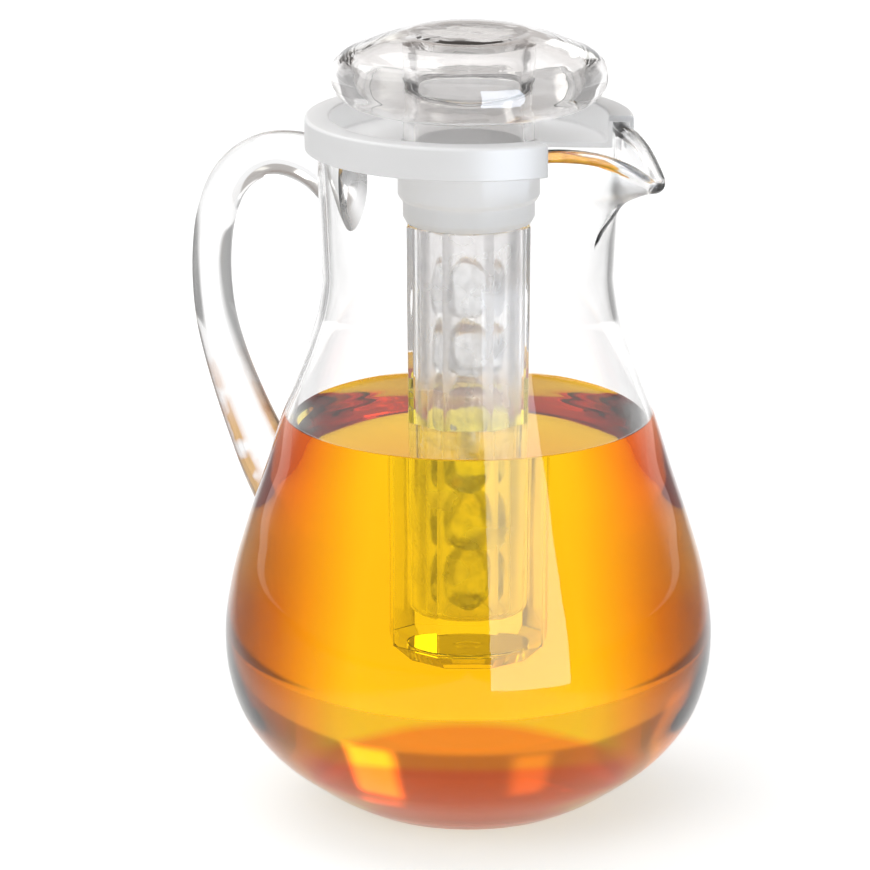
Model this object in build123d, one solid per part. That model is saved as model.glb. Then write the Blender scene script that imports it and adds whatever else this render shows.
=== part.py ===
from build123d import *
import math
import os

# Serving pitcher with an ice tube. Millimetres, +Z up, origin at the centre of
# the base on the table. The spout points along +X and the handle along -X.

# ---- driving dimensions ----------------------------------------------------
# jug outer profile: (radius, height)
JUG_PROFILE = [
    (40.0, 0.0), (49.5, 4.2), (61.0, 11.6), (74.0, 22.2), (84.3, 36.5),
    (88.9, 51.0), (90.0, 65.5), (87.2, 86.0), (81.6, 106.0), (74.9, 126.0),
    (68.6, 146.0), (63.0, 161.0), (57.9, 176.0), (54.6, 188.0), (53.4, 201.0),
    (55.2, 246.0),
]
WALL = 2.8              # jug wall
BASE_T = 3.6            # jug base
RIM_Z = 256.3           # top of the jug's rim
RIM_BEAD_H = 4.9        # height of the bead that runs round the rim and the lip
RIM_R = 57.2            # outer radius of the rim bead
NECK_IN_R = 52.4        # inner radius at the mouth

# spout: keel line (reach from the axis, height) and lip line (x, height)
KEEL = [(54.3, 206.0), (55.6, 212.0), (57.9, 221.0), (60.9, 228.0),
        (64.4, 233.0), (72.6, 237.4), (79.0, 240.4), (80.0, 246.0), (80.0, 262.0)]
LIP = [(49.0, 256.3), (54.0, 256.2), (58.2, 255.8), (64.5, 254.3),
       (71.0, 251.2), (77.0, 246.5), (82.0, 240.5), (90.0, 230.2)]
SPOUT_HALF_ANGLE = 32.0  # where the spout leaves the neck, at the rim
SPOUT_FOOT_Z = 203.0     # where the spout runs out on the neck
NOSE_OUT = 4.6           # rounding of the spout's outside at its keel
LIP_PROUD = 1.6          # how far the lip bead stands out from the spout

# handle: centre line (x, z), in-plane half height, half width
HANDLE = [
    (-43.5, 225.6, 21.0, 12.6), (-50.0, 228.0, 17.0, 11.4), (-56.5, 230.6, 13.4, 10.2), (-65.0, 233.4, 10.4, 9.2),
    (-76.0, 235.4, 8.9, 8.4), (-87.0, 234.6, 8.2, 8.1), (-97.8, 229.6, 7.8, 7.9),
    (-106.2, 221.0, 7.5, 7.8), (-111.2, 209.5, 7.3, 7.8), (-113.4, 196.0, 7.2, 7.8),
    (-113.5, 182.5, 7.3, 7.8), (-111.7, 169.0, 7.6, 7.9), (-107.6, 155.5, 8.1, 8.1),
    (-102.0, 142.0, 8.9, 8.5), (-95.6, 129.0, 9.9, 9.1), (-88.2, 116.0, 11.3, 9.9),
    (-78.0, 102.0, 13.2, 10.8), (-68.0, 88.0, 15.4, 11.8),
]

# pour lid
LID_R = 59.6
LID_BOTTOM = 247.0
LID_TOP = 259.0
LID_SKIRT_IN = 57.9
LID_FLANGE_BOTTOM = 256.6
LID_DISH_R = 50.3       # inner face of the ring's inner wall
LID_WALL_OUT = 51.9
LID_FLOOR_T = 2.0
POUR_HALF_ANGLE = 30.0  # the pour gap reaches this far to each side of +X
HUB_R = 25.9
HUB_BORE = 24.35
HUB_BOTTOM = 228.6
HUB_TOP = 249.4
LEDGE_R = 19.0
LEDGE_Z = (234.5, 236.0)

# tube retaining collar
COLLAR_R = 24.05
COLLAR_IN = 21.6
COLLAR_Z = (220.0, 233.2)
COLLAR_CHAMFER = (1.25, 2.3)

# ice tube: octagonal outside, round inside
TUBE_AF_TOP = 22.4      # centre to flat at the top of the octagon
TUBE_AF_BOTTOM = 21.2
TUBE_TOP = 220.0
TUBE_BOTTOM = 57.0
TUBE_NECK_TOP = 233.2
TUBE_BORE_TOP = 15.0
TUBE_BORE_BOTTOM = 14.2
TUBE_FLOOR = 72.0
TUBE_CHAMFER = 5.5
TUBE_RECESS_R = 15.2
TUBE_RECESS_H = 4.4
TUBE_FACE_ANGLE = -58.6  # direction that one flat faces, degrees from +X

GASKET_R = (17.0, 21.4)
GASKET_Z = (233.2, 234.2)

# cap: a hollow clear knob on a clear sleeve
CAP_TOP = 290.0
DOME_OUT = [(20.9, 290.0), (30.0, 287.9), (40.7, 283.7), (45.8, 281.3), (49.2, 278.0),
            (50.4, 274.0), (49.8, 270.0), (47.3, 266.5), (43.8, 264.1), (39.4, 262.8)]
DOME_IN = [(20.9, 286.4), (29.0, 284.5), (37.6, 280.8), (41.4, 278.9), (43.4, 276.6),
           (44.0, 274.0), (43.5, 271.1), (41.7, 268.4), (39.6, 266.8), (37.6, 266.2)]
STEM_R = 24.0
STEM_IN = 19.7
STEM_BOTTOM = 236.3
PLATE_R = 37.3
PLATE_Z = (262.8, 266.2)
ORING_C = 23.25
ORING_A = 1.0
ORING_Z = 241.2

os.makedirs("parts", exist_ok=True)


def save(shape, name):
    export_step(shape, "parts/" + name + ".step")


def revolve_pts(edges):
    """Turn a closed outline in the XZ plane once round the Z axis."""
    return revolve(Plane.XZ * make_face(edges), Axis.Z)


def smooth_points(pts, start, end, per):
    """A smooth line through pts with these end directions, per points to a span."""
    n = len(pts)
    h = [math.dist(pts[i], pts[i + 1]) for i in range(n - 1)]
    slopes = []
    for i in range(n):
        if i in (0, n - 1):
            d = start if i == 0 else end
            k = math.hypot(*d)
            slopes.append((d[0] / k, d[1] / k))
        else:
            slopes.append(tuple(
                ((pts[i][k] - pts[i - 1][k]) / h[i - 1] * h[i] + (pts[i + 1][k] - pts[i][k]) / h[i] * h[i - 1]) / (h[i - 1] + h[i])
                for k in (0, 1)))
    out = [pts[0]]
    for i in range(n - 1):
        for j in range(1, per + 1):
            t = j / per
            a, b = 2 * t ** 3 - 3 * t ** 2 + 1, 3 * t ** 2 - 2 * t ** 3
            c, d = t ** 3 - 2 * t ** 2 + t, t ** 3 - t ** 2
            out.append(tuple(a * pts[i][k] + b * pts[i + 1][k] + h[i] * (c * slopes[i][k] + d * slopes[i + 1][k])
                             for k in (0, 1)))
    return out


def arcs_along(pts, start, end, per=2):
    """That line as arcs end to end, so that the turned faces stay simple."""
    p = smooth_points(pts, start, end, per)
    return [ThreePointArc(p[i], p[i + 1], p[i + 2]) for i in range(0, len(p) - 2, 2)]


def offset_points(pts, dist):
    """Points moved to the left of their line, towards the axis on the jug."""
    out = []
    for i, (r, z) in enumerate(pts):
        a = pts[max(i - 1, 0)]
        b = pts[min(i + 1, len(pts) - 1)]
        tr, tz = b[0] - a[0], b[1] - a[1]
        n = math.hypot(tr, tz)
        out.append((r - dist * tz / n, z + dist * tr / n))
    return out


# ---- jug -------------------------------------------------------------------
def spout_angle(z):
    return SPOUT_HALF_ANGLE * min(1.0, (z - SPOUT_FOOT_Z) / (RIM_Z - SPOUT_FOOT_Z))


def spout_section(neck_r, reach, z, proud=0.0, wall=0.0, inner_r=0.0):
    """Face at height z: a V that leaves the neck at the spout's angle and ends
    in a rounded nose. With a wall, the V's inside, from the inner neck radius."""
    th = math.radians(spout_angle(z))
    nose = NOSE_OUT * min(1.0, max(0.2, spout_angle(z) / 16.0)) + proud
    c = reach + proud - nose
    rx, ry = (neck_r + proud) * math.cos(th), (neck_r + proud) * math.sin(th)
    # tangent from the root point (rx, ry) to the nose circle
    dx, dy = c - rx, -ry
    dist = math.hypot(dx, dy)
    base = math.atan2(dy, dx)
    turn = math.asin(min(0.999, nose / dist))
    d = base + turn
    n = (-math.sin(d), math.cos(d))
    k = n[0] * rx + n[1] * ry
    nose_i = nose
    root = (rx, ry)
    back = (neck_r * 0.96 * math.cos(th), neck_r * 0.96 * math.sin(th))
    if wall:
        k -= wall
        nose_i = max(nose - wall, 0.5)
        t = (math.cos(d), math.sin(d))
        p0 = (n[0] * k, n[1] * k)
        b = p0[0] * t[0] + p0[1] * t[1]
        disc = b * b - (p0[0] ** 2 + p0[1] ** 2 - inner_r ** 2)
        s = -b - math.sqrt(max(disc, 0.0))
        if (p0[1] + s * t[1]) < 0.3:
            s = -b + math.sqrt(max(disc, 0.0))
        root = (p0[0] + s * t[0], max(p0[1] + s * t[1], 0.3))
        back = (root[0] - 3.0, root[1])
    top = (c + nose_i * n[0], nose_i * n[1])
    tip = (c + nose_i, 0)
    e = [Line((back[0], -back[1]), (root[0], -root[1])), Line((root[0], -root[1]), (top[0], -top[1])),
         ThreePointArc((top[0], -top[1]), tip, top), Line(top, root), Line(root, back),
         Line(back, (back[0], -back[1]))]
    return Pos(0, 0, z) * make_face(e)


outer_edges = [
    Line((0, 0), JUG_PROFILE[0]),
    *arcs_along(JUG_PROFILE[:-1], (1, 0.2), (0.04, 1), 4),
    Line(JUG_PROFILE[-2], JUG_PROFILE[-1]),
    Line(JUG_PROFILE[-1], (JUG_PROFILE[-1][0], RIM_Z)),
    Line((JUG_PROFILE[-1][0], RIM_Z), (0, RIM_Z)),
    Line((0, RIM_Z), (0, 0)),
]
jug_outer = revolve_pts(outer_edges)

inner_line = offset_points(JUG_PROFILE, WALL)[2:-2] + [(JUG_PROFILE[-2][0] - WALL, JUG_PROFILE[-2][1])]
inner_line = [(38.0, BASE_T), (49.0, 6.6)] + inner_line
inner_edges = [
    Line((0, BASE_T), inner_line[0]),
    *arcs_along(inner_line, (1, 0.12), (0.04, 1), 4),
    Line(inner_line[-1], (NECK_IN_R, JUG_PROFILE[-1][1])),
    Line((NECK_IN_R, JUG_PROFILE[-1][1]), (NECK_IN_R, RIM_Z + 6)),
    Line((NECK_IN_R, RIM_Z + 6), (0, RIM_Z + 6)),
    Line((0, RIM_Z + 6), (0, BASE_T)),
]
jug_inner = revolve_pts(inner_edges)


def neck_radius(z):
    pts = JUG_PROFILE
    for a, b in zip(pts[:-1], pts[1:]):
        if a[1] <= z <= b[1]:
            t = (z - a[1]) / (b[1] - a[1])
            return a[0] + t * (b[0] - a[0])
    return pts[-1][0]


spout_out = loft([spout_section(neck_radius(z) - 0.2, t, z) for t, z in KEEL], ruled=True)
spout_in = loft([spout_section(neck_radius(z) - 0.2, t, z, wall=WALL, inner_r=min(neck_radius(z) - WALL - 0.1, NECK_IN_R - 0.1))
                 for t, z in KEEL[2:]], ruled=True)


def y_prism(edges, half=70.0):
    f = Plane.XZ * make_face(edges)
    return extrude(f, amount=half, both=True)


lip_curve = Spline(*LIP, tangents=[(1, 0), (1, -1.3)])
above_lip = y_prism([
    Line((-80, RIM_Z), LIP[0]), lip_curve,
    Line(LIP[-1], (LIP[-1][0] + 15, LIP[-1][1])),
    Line((LIP[-1][0] + 15, LIP[-1][1]), (LIP[-1][0] + 15, RIM_Z + 20)),
    Line((LIP[-1][0] + 15, RIM_Z + 20), (-80, RIM_Z + 20)),
    Line((-80, RIM_Z + 20), (-80, RIM_Z)),
])
h = RIM_BEAD_H
bead_band = y_prism([
    Line((-80, RIM_Z), LIP[0]), lip_curve,
    Line(LIP[-1], (LIP[-1][0], LIP[-1][1] - h)),
    Spline(*[(x, z - h) for x, z in reversed(LIP)], tangents=[(-1, 1.3), (-1, 0)]),
    Line((LIP[0][0], RIM_Z - h), (-80, RIM_Z - h)),
    Line((-80, RIM_Z - h), (-80, RIM_Z)),
])
bead_prism = Pos(0, 0, -36) * extrude(spout_section(RIM_R - LIP_PROUD, KEEL[-1][0], 262.0, proud=LIP_PROUD), amount=44)
bead_prism = bead_prism + Pos(0, 0, 225) * extrude(Circle(RIM_R), amount=40)
bead = bead_prism & bead_band

jug_body = (jug_outer + (spout_out - above_lip)) + bead
jug_body = jug_body - above_lip
jug_body = jug_body - jug_inner
jug_body = jug_body - spout_in
save(jug_body, "jug_body")

# ---- handle ----------------------------------------------------------------
sections = []
for i, (x, z, hh, hw) in enumerate(HANDLE):
    a = HANDLE[max(i - 1, 0)]
    b = HANDLE[min(i + 1, len(HANDLE) - 1)]
    t = Vector(b[0] - a[0], 0, b[1] - a[1]).normalized()
    pl = Plane(origin=(x, 0, z), x_dir=(0, 1, 0), z_dir=(t.X, 0, t.Z))
    sections.append(pl * Ellipse(hw, hh))
handle_raw = loft(sections)
jug_handle = handle_raw - jug_outer
solids = sorted(jug_handle.solids(), key=lambda s: -s.volume)
jug_handle = solids[0]
save(jug_handle, "jug_handle")

# ---- pour lid --------------------------------------------------------------
floor_top = LID_BOTTOM + LID_FLOOR_T
lid_edges = Polyline(
    (LID_DISH_R, floor_top), (LID_DISH_R, LID_TOP), (LID_R, LID_TOP), (LID_R, LID_BOTTOM),
    (LID_SKIRT_IN, LID_BOTTOM), (LID_SKIRT_IN, LID_FLANGE_BOTTOM), (LID_WALL_OUT, LID_FLANGE_BOTTOM),
    (LID_WALL_OUT, LID_BOTTOM), (HUB_R - 0.5, LID_BOTTOM), (HUB_R - 0.5, floor_top), close=True,
)
pour_ring = revolve_pts(lid_edges)
top_edges = [e for e in pour_ring.edges() if e.geom_type == GeomType.CIRCLE
             and abs(e.center().Z - LID_TOP) < 1e-3]
pour_ring = fillet(top_edges, 0.8)
far = 90.0
ca, sa = math.cos(math.radians(POUR_HALF_ANGLE)), math.sin(math.radians(POUR_HALF_ANGLE))
wedge = extrude(Pos(0, 0, LID_BOTTOM - 5) * make_face(Polyline((0, 0), (far * ca, -far * sa), (far * ca, far * sa), close=True)), amount=25)
pour_ring = pour_ring - wedge
hub = revolve_pts(Polyline(
    (HUB_BORE, HUB_TOP), (HUB_R, HUB_TOP), (HUB_R, HUB_BOTTOM + 1.8), (HUB_R - 1.0, HUB_BOTTOM),
    (HUB_BORE, HUB_BOTTOM), (HUB_BORE, LEDGE_Z[0]), (LEDGE_R, LEDGE_Z[0]), (LEDGE_R, LEDGE_Z[1]),
    (HUB_BORE, LEDGE_Z[1]), close=True,
))
pour_lid = pour_ring + hub
save(pour_lid, "pour_lid")

# ---- collar, tube, gasket --------------------------------------------------
tube_collar = revolve_pts(Polyline(
    (COLLAR_IN, COLLAR_Z[0]), (COLLAR_R - COLLAR_CHAMFER[0], COLLAR_Z[0]), (COLLAR_R, COLLAR_Z[0] + COLLAR_CHAMFER[1]),
    (COLLAR_R, COLLAR_Z[1]), (COLLAR_IN, COLLAR_Z[1]), close=True,
))
save(tube_collar, "tube_collar")


def octagon(apothem, z):
    rv = apothem / math.cos(math.radians(22.5))
    pts = []
    for k in range(8):
        a = math.radians(TUBE_FACE_ANGLE + 22.5 + 45 * k)
        pts.append((rv * math.cos(a), rv * math.sin(a)))
    return Pos(0, 0, z) * make_face(Polyline(*pts, close=True))


tube = loft([octagon(TUBE_AF_BOTTOM, TUBE_BOTTOM), octagon(TUBE_AF_TOP, TUBE_TOP)], ruled=True)
bottom_edges = [e for e in tube.edges() if abs(e.center().Z - TUBE_BOTTOM) < 1e-3]
tube = chamfer(bottom_edges, TUBE_CHAMFER)
tube = tube + Pos(0, 0, TUBE_TOP) * extrude(Circle(COLLAR_IN), amount=TUBE_NECK_TOP - TUBE_TOP)
bore = revolve_pts(Polyline(
    (0, TUBE_FLOOR), (TUBE_BORE_BOTTOM - 2.0, TUBE_FLOOR), (TUBE_BORE_BOTTOM, TUBE_FLOOR + 2.0),
    (TUBE_BORE_TOP, TUBE_NECK_TOP + 2), (0, TUBE_NECK_TOP + 2), close=True,
))
tube = tube - bore
tube = tube - Pos(0, 0, TUBE_BOTTOM) * extrude(Circle(TUBE_RECESS_R), amount=TUBE_RECESS_H)
ice_tube = tube
save(ice_tube, "ice_tube")

tube_gasket = revolve_pts(Polyline(
    (GASKET_R[0], GASKET_Z[0]), (GASKET_R[1], GASKET_Z[0]), (GASKET_R[1], GASKET_Z[1]),
    (GASKET_R[0], GASKET_Z[1]), close=True,
))
save(tube_gasket, "tube_gasket")

# ---- cap -------------------------------------------------------------------
dome_edges = [
    Line((0, DOME_IN[0][1]), DOME_IN[0]),
    *arcs_along(DOME_IN, (1, -0.1), (-1, -0.4)),
    Line(DOME_IN[-1], (PLATE_R, PLATE_Z[1])) if DOME_IN[-1][0] > PLATE_R + 1e-6 else None,
    Line((PLATE_R, PLATE_Z[1]), (PLATE_R, PLATE_Z[0])),
    Line((PLATE_R, PLATE_Z[0]), DOME_OUT[-1]),
    *arcs_along(DOME_OUT[::-1], (1, 0.45), (-1, 0.1)),
    Line(DOME_OUT[0], (0, CAP_TOP)),
    Line((0, CAP_TOP), (0, DOME_IN[0][1])),
]
cap_dome = revolve_pts([e for e in dome_edges if e is not None])
save(cap_dome, "cap_dome")

GROOVE_R = ORING_C - ORING_A
stem_top = DOME_IN[0][1]
cap_stem = revolve_pts(Polyline(
    (STEM_IN, STEM_BOTTOM), (STEM_R - 0.6, STEM_BOTTOM), (STEM_R, STEM_BOTTOM + 0.6),
    (STEM_R, ORING_Z - ORING_A - 0.1), (GROOVE_R, ORING_Z - ORING_A - 0.1),
    (GROOVE_R, ORING_Z + ORING_A + 0.1), (STEM_R, ORING_Z + ORING_A + 0.1),
    (STEM_R, PLATE_Z[0]), (PLATE_R, PLATE_Z[0]), (PLATE_R, PLATE_Z[1]), (STEM_R, PLATE_Z[1]),
    (STEM_R, 284.0), (20.9, stem_top), (STEM_IN, stem_top), close=True,
))
save(cap_stem, "cap_stem")

cap_oring = revolve(Plane.XZ * Pos(ORING_C, ORING_Z) * Circle(ORING_A), Axis.Z)
save(cap_oring, "cap_oring")
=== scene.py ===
import math
import random

import bmesh
import bpy
import numpy as np
from mathutils import Matrix, Vector, noise


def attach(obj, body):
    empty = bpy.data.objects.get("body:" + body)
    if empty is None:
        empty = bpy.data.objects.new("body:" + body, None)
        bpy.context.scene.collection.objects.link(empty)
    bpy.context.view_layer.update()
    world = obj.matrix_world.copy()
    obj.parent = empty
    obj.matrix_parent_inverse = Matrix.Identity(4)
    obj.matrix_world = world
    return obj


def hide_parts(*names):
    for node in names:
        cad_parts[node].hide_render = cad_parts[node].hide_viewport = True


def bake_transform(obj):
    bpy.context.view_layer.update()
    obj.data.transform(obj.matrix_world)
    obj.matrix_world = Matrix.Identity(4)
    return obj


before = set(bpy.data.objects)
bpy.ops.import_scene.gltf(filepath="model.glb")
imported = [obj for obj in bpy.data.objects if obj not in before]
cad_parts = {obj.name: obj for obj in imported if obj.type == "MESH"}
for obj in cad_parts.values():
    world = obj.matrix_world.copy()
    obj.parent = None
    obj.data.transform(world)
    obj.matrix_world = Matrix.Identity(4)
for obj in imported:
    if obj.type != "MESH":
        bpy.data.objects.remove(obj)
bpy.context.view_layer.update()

MM = 0.001

# ---------------------------------------------------------------------------
# Sizes in millimetres, as in the CAD model
# ---------------------------------------------------------------------------
JUG_PROFILE = [
    (40.0, 0.0), (49.5, 4.2), (61.0, 11.6), (74.0, 22.2), (84.3, 36.5),
    (88.9, 51.0), (90.0, 65.5), (87.2, 86.0), (81.6, 106.0), (74.9, 126.0),
    (68.6, 146.0), (63.0, 161.0), (57.9, 176.0), (54.6, 188.0), (53.4, 201.0),
    (55.2, 246.0),
]
WALL, BASE_T, RIM_Z, BEAD_H, RIM_R, NECK_IN_R = 2.8, 3.6, 256.3, 4.9, 57.2, 52.4
KEEL = [(54.3, 206.0), (55.6, 212.0), (57.9, 221.0), (60.9, 228.0),
        (64.4, 233.0), (72.6, 237.4), (79.0, 240.4), (80.0, 246.0), (80.0, 262.0)]
LIP = [(49.0, 256.3), (54.0, 256.2), (58.2, 255.8), (64.5, 254.3),
       (71.0, 251.2), (77.0, 246.5), (82.0, 240.5), (90.0, 230.2)]
SPOUT_HALF, SPOUT_FOOT, NOSE, PROUD = 32.0, 203.0, 4.6, 1.6
HANDLE = [
    (-43.5, 225.6, 21.0, 12.6), (-50.0, 228.0, 17.0, 11.4), (-56.5, 230.6, 13.4, 10.2), (-65.0, 233.4, 10.4, 9.2),
    (-76.0, 235.4, 8.9, 8.4), (-87.0, 234.6, 8.2, 8.1), (-97.8, 229.6, 7.8, 7.9),
    (-106.2, 221.0, 7.5, 7.8), (-111.2, 209.5, 7.3, 7.8), (-113.4, 196.0, 7.2, 7.8),
    (-113.5, 182.5, 7.3, 7.8), (-111.7, 169.0, 7.6, 7.9), (-107.6, 155.5, 8.1, 8.1),
    (-102.0, 142.0, 8.9, 8.5), (-95.6, 129.0, 9.9, 9.1), (-88.2, 116.0, 11.3, 9.9),
    (-78.0, 102.0, 13.2, 10.8), (-68.0, 88.0, 15.4, 11.8),
]
DRINK_Z = 146.0        # level of the drink
MENISCUS = 1.3         # how far it climbs at the wall
TUBE_FACE = -58.6
N_AIR_PLASTIC = 1.57   # clear moulded plastic
N_DRINK = 1.335
LIFT = 205.0           # travel of the lid's slide

# ---------------------------------------------------------------------------
# Helpers
# ---------------------------------------------------------------------------


def smooth_points(pts, start, end, per):
    """A smooth line through pts (any number of values each), per points to a span."""
    pts = [tuple(p) for p in pts]
    n, dim = len(pts), len(pts[0])
    h = [math.dist(pts[i][:2], pts[i + 1][:2]) for i in range(n - 1)]
    slopes = []
    for i in range(n):
        if i in (0, n - 1):
            j = 0 if i == 0 else n - 2
            d = start if i == 0 else end
            if d is None:
                slopes.append(tuple((pts[j + 1][k] - pts[j][k]) / h[j] for k in range(dim)))
            else:
                q = math.hypot(*d[:2])
                extra = [(pts[j + 1][k] - pts[j][k]) / h[j] for k in range(2, dim)]
                slopes.append((d[0] / q, d[1] / q, *extra))
        else:
            slopes.append(tuple(
                ((pts[i][k] - pts[i - 1][k]) / h[i - 1] * h[i] + (pts[i + 1][k] - pts[i][k]) / h[i] * h[i - 1])
                / (h[i - 1] + h[i]) for k in range(dim)))
    out = [pts[0]]
    for i in range(n - 1):
        for j in range(1, per + 1):
            t = j / per
            a, b = 2 * t ** 3 - 3 * t ** 2 + 1, 3 * t ** 2 - 2 * t ** 3
            c, d = t ** 3 - 2 * t ** 2 + t, t ** 3 - t ** 2
            out.append(tuple(a * pts[i][k] + b * pts[i + 1][k] + h[i] * (c * slopes[i][k] + d * slopes[i + 1][k])
                             for k in range(dim)))
    return out


def round_corners(pts, radius, steps=4, closed=True):
    """Outline points with each corner that has a radius rounded. radius is one value or one per point."""
    n = len(pts)
    rs = radius if isinstance(radius, (list, tuple)) else [radius] * n
    out = []
    for i, p in enumerate(pts):
        r = rs[i]
        if r <= 0 or (not closed and i in (0, n - 1)):
            out.append(tuple(p))
            continue
        a, b = Vector(pts[i - 1]).to_2d(), Vector(pts[(i + 1) % n]).to_2d()
        c = Vector(p).to_2d()
        u, v = (a - c), (b - c)
        lu, lv = u.length, v.length
        u, v = u / lu, v / lv
        ang = math.acos(max(-1, min(1, u.dot(v))))
        if ang > math.pi - 0.05:
            out.append(tuple(p))
            continue
        cut = min(r / math.tan(ang / 2), 0.45 * lu, 0.45 * lv)
        rr = cut * math.tan(ang / 2)
        mid = (u + v).normalized()
        centre = c + mid * (rr / math.sin(ang / 2))
        p0, p1 = c + u * cut, c + v * cut
        a0 = math.atan2(p0.y - centre.y, p0.x - centre.x)
        a1 = math.atan2(p1.y - centre.y, p1.x - centre.x)
        d = (a1 - a0 + math.pi) % (2 * math.pi) - math.pi
        for k in range(steps + 1):
            t = a0 + d * k / steps
            out.append((centre.x + rr * math.cos(t), centre.y + rr * math.sin(t)))
    return out


def new_object(name, verts, faces, mats=(), slots=None, scale=MM):
    mesh = bpy.data.meshes.new(name)
    mesh.from_pydata([tuple(c * scale for c in v) for v in verts], [], faces)
    mesh.validate(clean_customdata=False)
    for m in mats:
        mesh.materials.append(m)
    if slots is not None:
        mesh.polygons.foreach_set("material_index", slots)
    o = bpy.data.objects.new(name, mesh)
    bpy.context.scene.collection.objects.link(o)
    mesh.update()
    return o


def shade(o, angle=35.0):
    """Smooth shading with edges sharper than the angle kept sharp."""
    bm = bmesh.new()
    bm.from_mesh(o.data)
    lim = math.radians(angle)
    for f in bm.faces:
        f.smooth = True
    for e in bm.edges:
        e.smooth = not (len(e.link_faces) == 2 and e.calc_face_angle(0.0) > lim)
    bm.to_mesh(o.data)
    bm.free()
    o.data.update()
    return o


def out_facing(o):
    """Face normals outwards on a closed mesh."""
    bm = bmesh.new()
    bm.from_mesh(o.data)
    bmesh.ops.recalc_face_normals(bm, faces=bm.faces[:])
    if bm.calc_volume(signed=True) < 0:
        bmesh.ops.reverse_faces(bm, faces=bm.faces[:])
    bm.to_mesh(o.data)
    bm.free()
    o.data.update()
    return o


def lathe(name, outline, segments=160, mats=(), slot_of=None, a0=0.0, a1=360.0):
    """A closed outline of (r, z) turned about Z. A part turn gets flat ends."""
    full = abs(a1 - a0) >= 359.999
    cols = segments if full else segments + 1
    verts, index = [], {}
    for i in range(cols):
        a = math.radians(a0 + (a1 - a0) * i / segments)
        for j, (r, z) in enumerate(outline):
            if r < 1e-6:
                if ("axis", j) not in index:
                    index[("axis", j)] = len(verts)
                    verts.append((0, 0, z))
                index[(i, j)] = index[("axis", j)]
            else:
                index[(i, j)] = len(verts)
                verts.append((r * math.cos(a), r * math.sin(a), z))
    faces, slots = [], []
    n = len(outline)
    for i in range(segments):
        i2 = (i + 1) % cols
        for j in range(n):
            j2 = (j + 1) % n
            ring = [index[(i, j)], index[(i2, j)], index[(i2, j2)], index[(i, j2)]]
            face = [v for k, v in enumerate(ring) if v != ring[k - 1]]
            if len(set(face)) >= 3:
                faces.append(face)
                slots.append(slot_of(j, j2) if slot_of else 0)
    if not full:
        faces.append([index[(0, j)] for j in range(n)])
        faces.append([index[(segments, j)] for j in range(n)][::-1])
        slots += [0, 0]
    o = new_object(name, verts, faces, mats, slots)
    return out_facing(o)


def boolean(a, b, kind):
    m = a.modifiers.new("join", "BOOLEAN")
    m.object, m.operation, m.solver = b, kind, "MANIFOLD"
    apply_modifiers(a)
    bpy.data.objects.remove(b)
    return a


def apply_modifiers(o):
    dg = bpy.context.evaluated_depsgraph_get()
    dg.update()
    mesh = bpy.data.meshes.new_from_object(o.evaluated_get(dg), preserve_all_data_layers=True, depsgraph=dg)
    o.modifiers.clear()
    old = o.data
    o.data = mesh
    mesh.name = o.name
    bpy.data.meshes.remove(old)
    return o


def weighted(o):
    m = o.modifiers.new("normals", "WEIGHTED_NORMAL")
    m.mode, m.weight, m.keep_sharp = "FACE_AREA", 80, True
    return o


# ---------------------------------------------------------------------------
# Materials
# ---------------------------------------------------------------------------


def material(name):
    m = bpy.data.materials.new(name)
    m.use_nodes = True
    nt = m.node_tree
    nt.nodes.clear()
    out = nt.nodes.new("ShaderNodeOutputMaterial")
    return m, nt, out


def node(nt, kind, inputs=None, **props):
    n = nt.nodes.new(kind)
    for k, v in props.items():
        setattr(n, k, v)
    for k, v in (inputs or {}).items():
        if isinstance(v, bpy.types.NodeSocket):
            nt.links.new(v, n.inputs[k])
        else:
            n.inputs[k].default_value = v
    return n


def ramp(nt, fac, stops):
    r = nt.nodes.new("ShaderNodeValToRGB")
    nt.links.new(fac, r.inputs["Fac"])
    els = r.color_ramp.elements
    while len(els) < len(stops):
        els.new(0.5)
    for e, (p, c) in zip(els, stops):
        e.position, e.color = p, c if len(c) == 4 else (*c, 1)
    return r


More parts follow.
